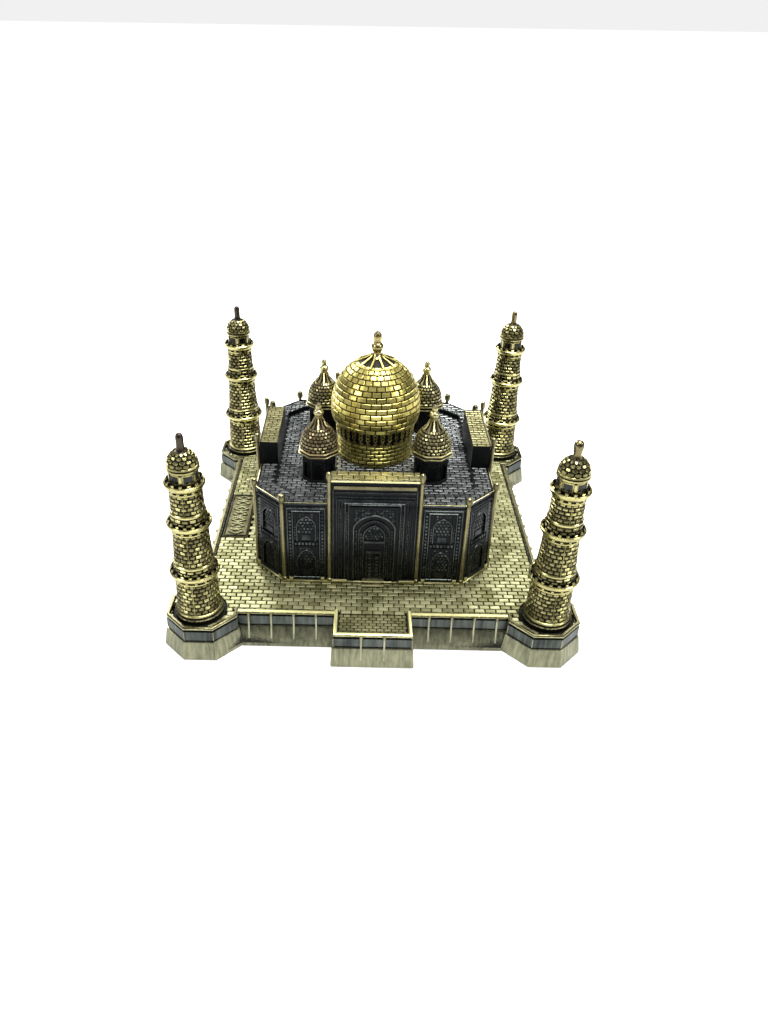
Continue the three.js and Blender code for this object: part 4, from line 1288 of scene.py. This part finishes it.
for corner in CORNERS:
    axis_x, axis_y, _, _ = stands_at("tower_" + corner)
    tower = Casting(axis_x, axis_y)
    tower.turned([
        (6.4, TOWER_FOOT_Z, 0.0), (6.45, 10.3, 0.1), (6.45, 10.7, 0.45), (6.25, 10.9, 0.3), (6.0, 10.95, 0.0),
        (6.0, 11.35, 0.0), (6.1, 11.45, 0.5), (6.05, 11.8, 0.8), (5.75, 12.05, 0.5), (5.5, 12.1, 0.0),
        (5.16, 17.5, 0.0), (5.1, 21.8, 0.0), (5.0, 24.0, 0.0), (4.98, 26.1, 0.0), (5.3, 26.2, 0.9),
        (5.32, 26.6, 1.0), (5.1, 26.85, 0.8), (4.76, 26.9, 0.0), (4.32, 33.0, 0.0), (4.26, 36.4, 0.0),
        (4.2, 38.0, 0.0), (4.2, 40.9, 0.0), (4.42, 41.0, 0.9), (4.45, 41.5, 1.0), (4.25, 41.75, 0.8),
        (3.88, 41.8, 0.0), (3.74, 47.6, 0.0), (3.3, 50.0, 0.0), (3.42, 50.1, 0.5), (3.36, 52.5, 0.6),
        (3.75, 52.9, 0.7), (4.02, 53.15, 1.0), (4.02, 53.45, 1.0), (3.75, 53.55, 0.0), (3.72, 53.8, 0.0),
        (3.98, 53.9, 1.0), (3.9, 54.25, 1.0), (3.6, 54.4, 0.3), (3.45, 55.2, 0.0), (2.95, 56.3, 0.0),
        (2.05, 57.25, 0.0), (1.25, TOWER_CAP_Z, 0.3),
    ], 40, tone=0.95)
    shafts = (
        (20, 8, [(5.5, 12.1), (5.18, 17.0), (5.12, 21.5)]),
        (18, 8, [(4.76, 26.9), (4.32, 33.0), (4.28, 36.1)]),
        (16, 5, [(3.88, 41.8), (3.76, 47.3)]),
    )
    for around, rows, line in shafts:
        face = on_round(line)
        courses(tower, face, around, rows, 0.32, 0.3, 0.2, -0.5)
        for seam in (0.0, math.pi):
            tower.strap(face, [(seam, 0.1), (seam, face.length - 0.1)], 0.035, 0.0, 0.36, tone=0.5)
    balcony(tower, 23.8, 6.45, 5.14, 5.0, 26.1, 16)
    balcony(tower, 38.3, 5.6, 4.3, 4.2, 40.9, 14)
    balcony(tower, 49.5, 5.0, 3.76, 3.4, 50.0, 12)
    lantern = on_round([(3.42, 50.1), (3.36, 52.5)])
    for i in range(6):
        a = 2 * math.pi * (i + 0.5) / 6
        tower.brick(lantern, a - 0.33, a + 0.33, 0.35, 2.1, -0.1, 0.06, 0.03, 0.01, 3, 0.0, 1)
        tower.brick(lantern, a + 0.42, a + 0.62, 0.1, 2.35, -0.1, 0.3, 0.08, 0.02, 2, 0.8)
    crown = on_round([(3.6, 54.4), (3.45, 55.2), (2.95, 56.3), (2.05, 57.25), (1.4, 57.7)])
    scales(tower, crown, 13, 4, 0.05, crown.length - 0.2, 1.05, 0.32, 0.6)
    metals = [tower_gold, window_dark]
    tower.build("tower_casting_" + corner, metals, "tower_brass", ["tower_" + corner], smooth_below=38)


# The tower pins: turned brass, tapered, with a round tip, each pressed into its tower.
# Those on the left are plated dark brown, those on the right keep their brass colour.
pin_brown = plated(
    "pin_brown", (0.075, 0.06, 0.045), (0.035, 0.028, 0.024), (0.012, 0.010, 0.009),
    patches=0.4, roughness=(0.3, 0.45)
)
pin_olive = plated(
    "pin_olive", (0.25, 0.21, 0.10), (0.10, 0.08, 0.04), (0.02, 0.016, 0.010),
    patches=0.4, roughness=(0.24, 0.4)
)
for corner in CORNERS:
    axis_x, axis_y, foot, tip = stands_at("tower_finial_" + corner)
    pin = Casting(axis_x, axis_y)
    bulge = 1.2 if corner == "front_right" else 0.95
    knots = [
        (1.2, foot), (1.05, foot + 0.5), (0.95, foot + 1.2), (bulge, tip - 1.7), (bulge * 0.97, tip - 1.0),
        (bulge * 0.7, tip - 0.3), (0.08, tip),
    ]
    pin.turned([(r, z, 0.75) for r, z in smooth_curve(knots, 3)], 20, tone=0.6)
    metal, slot = (pin_brown, "finial_dark") if corner.endswith("left") else (pin_olive, "finial_brass")
    pin.build("tower_pin_" + corner, [metal], slot, ["tower_finial_" + corner], smooth_below=60)


# Fasteners and feet are bought pieces: zinc plated pan-head screws that hold the castings together,
# and round black felt pads glued into their recesses under the bastions.
screw_zinc = plated(
    "screw_zinc", (0.62, 0.63, 0.66), (0.42, 0.43, 0.46), (0.2, 0.2, 0.22), patches=0.5, roughness=(0.3, 0.4)
)
felt = bpy.data.materials.new("black_felt")
felt.use_nodes = True
felt_tree = felt.node_tree
felt_place = felt_tree.nodes.new("ShaderNodeTexCoord").outputs["Object"]
fibres = noise(felt_tree, felt_place, 3500.0, 5.0, 0.7)
felt_bump = felt_tree.nodes.new("ShaderNodeBump")
feed(felt_tree, [felt_bump.inputs[name] for name in ("Distance", "Height")], (0.1 * MM, fibres))
felt_shader = felt_tree.nodes["Principled BSDF"]
felt_sockets = ("Sheen Weight", "Sheen Roughness", "Specular IOR Level", "Base Color", "Roughness", "Normal")
feed(felt_tree, [felt_shader.inputs[name] for name in felt_sockets], (
    0.4, 0.6, 0.2, mix_color(felt_tree, fibres, (0.012, 0.012, 0.014, 1), (0.07, 0.07, 0.075, 1)),
    ramp_to(felt_tree, fibres, 0.3, 0.7, 0.85, 1.0), felt_bump.outputs["Normal"],
))
for name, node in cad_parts.items():
    if "_screw_" in name or name.startswith("foot_pad_"):
        node.data.materials.clear()
        node.data.materials.append(felt if name.startswith("foot_pad_") else screw_zinc)
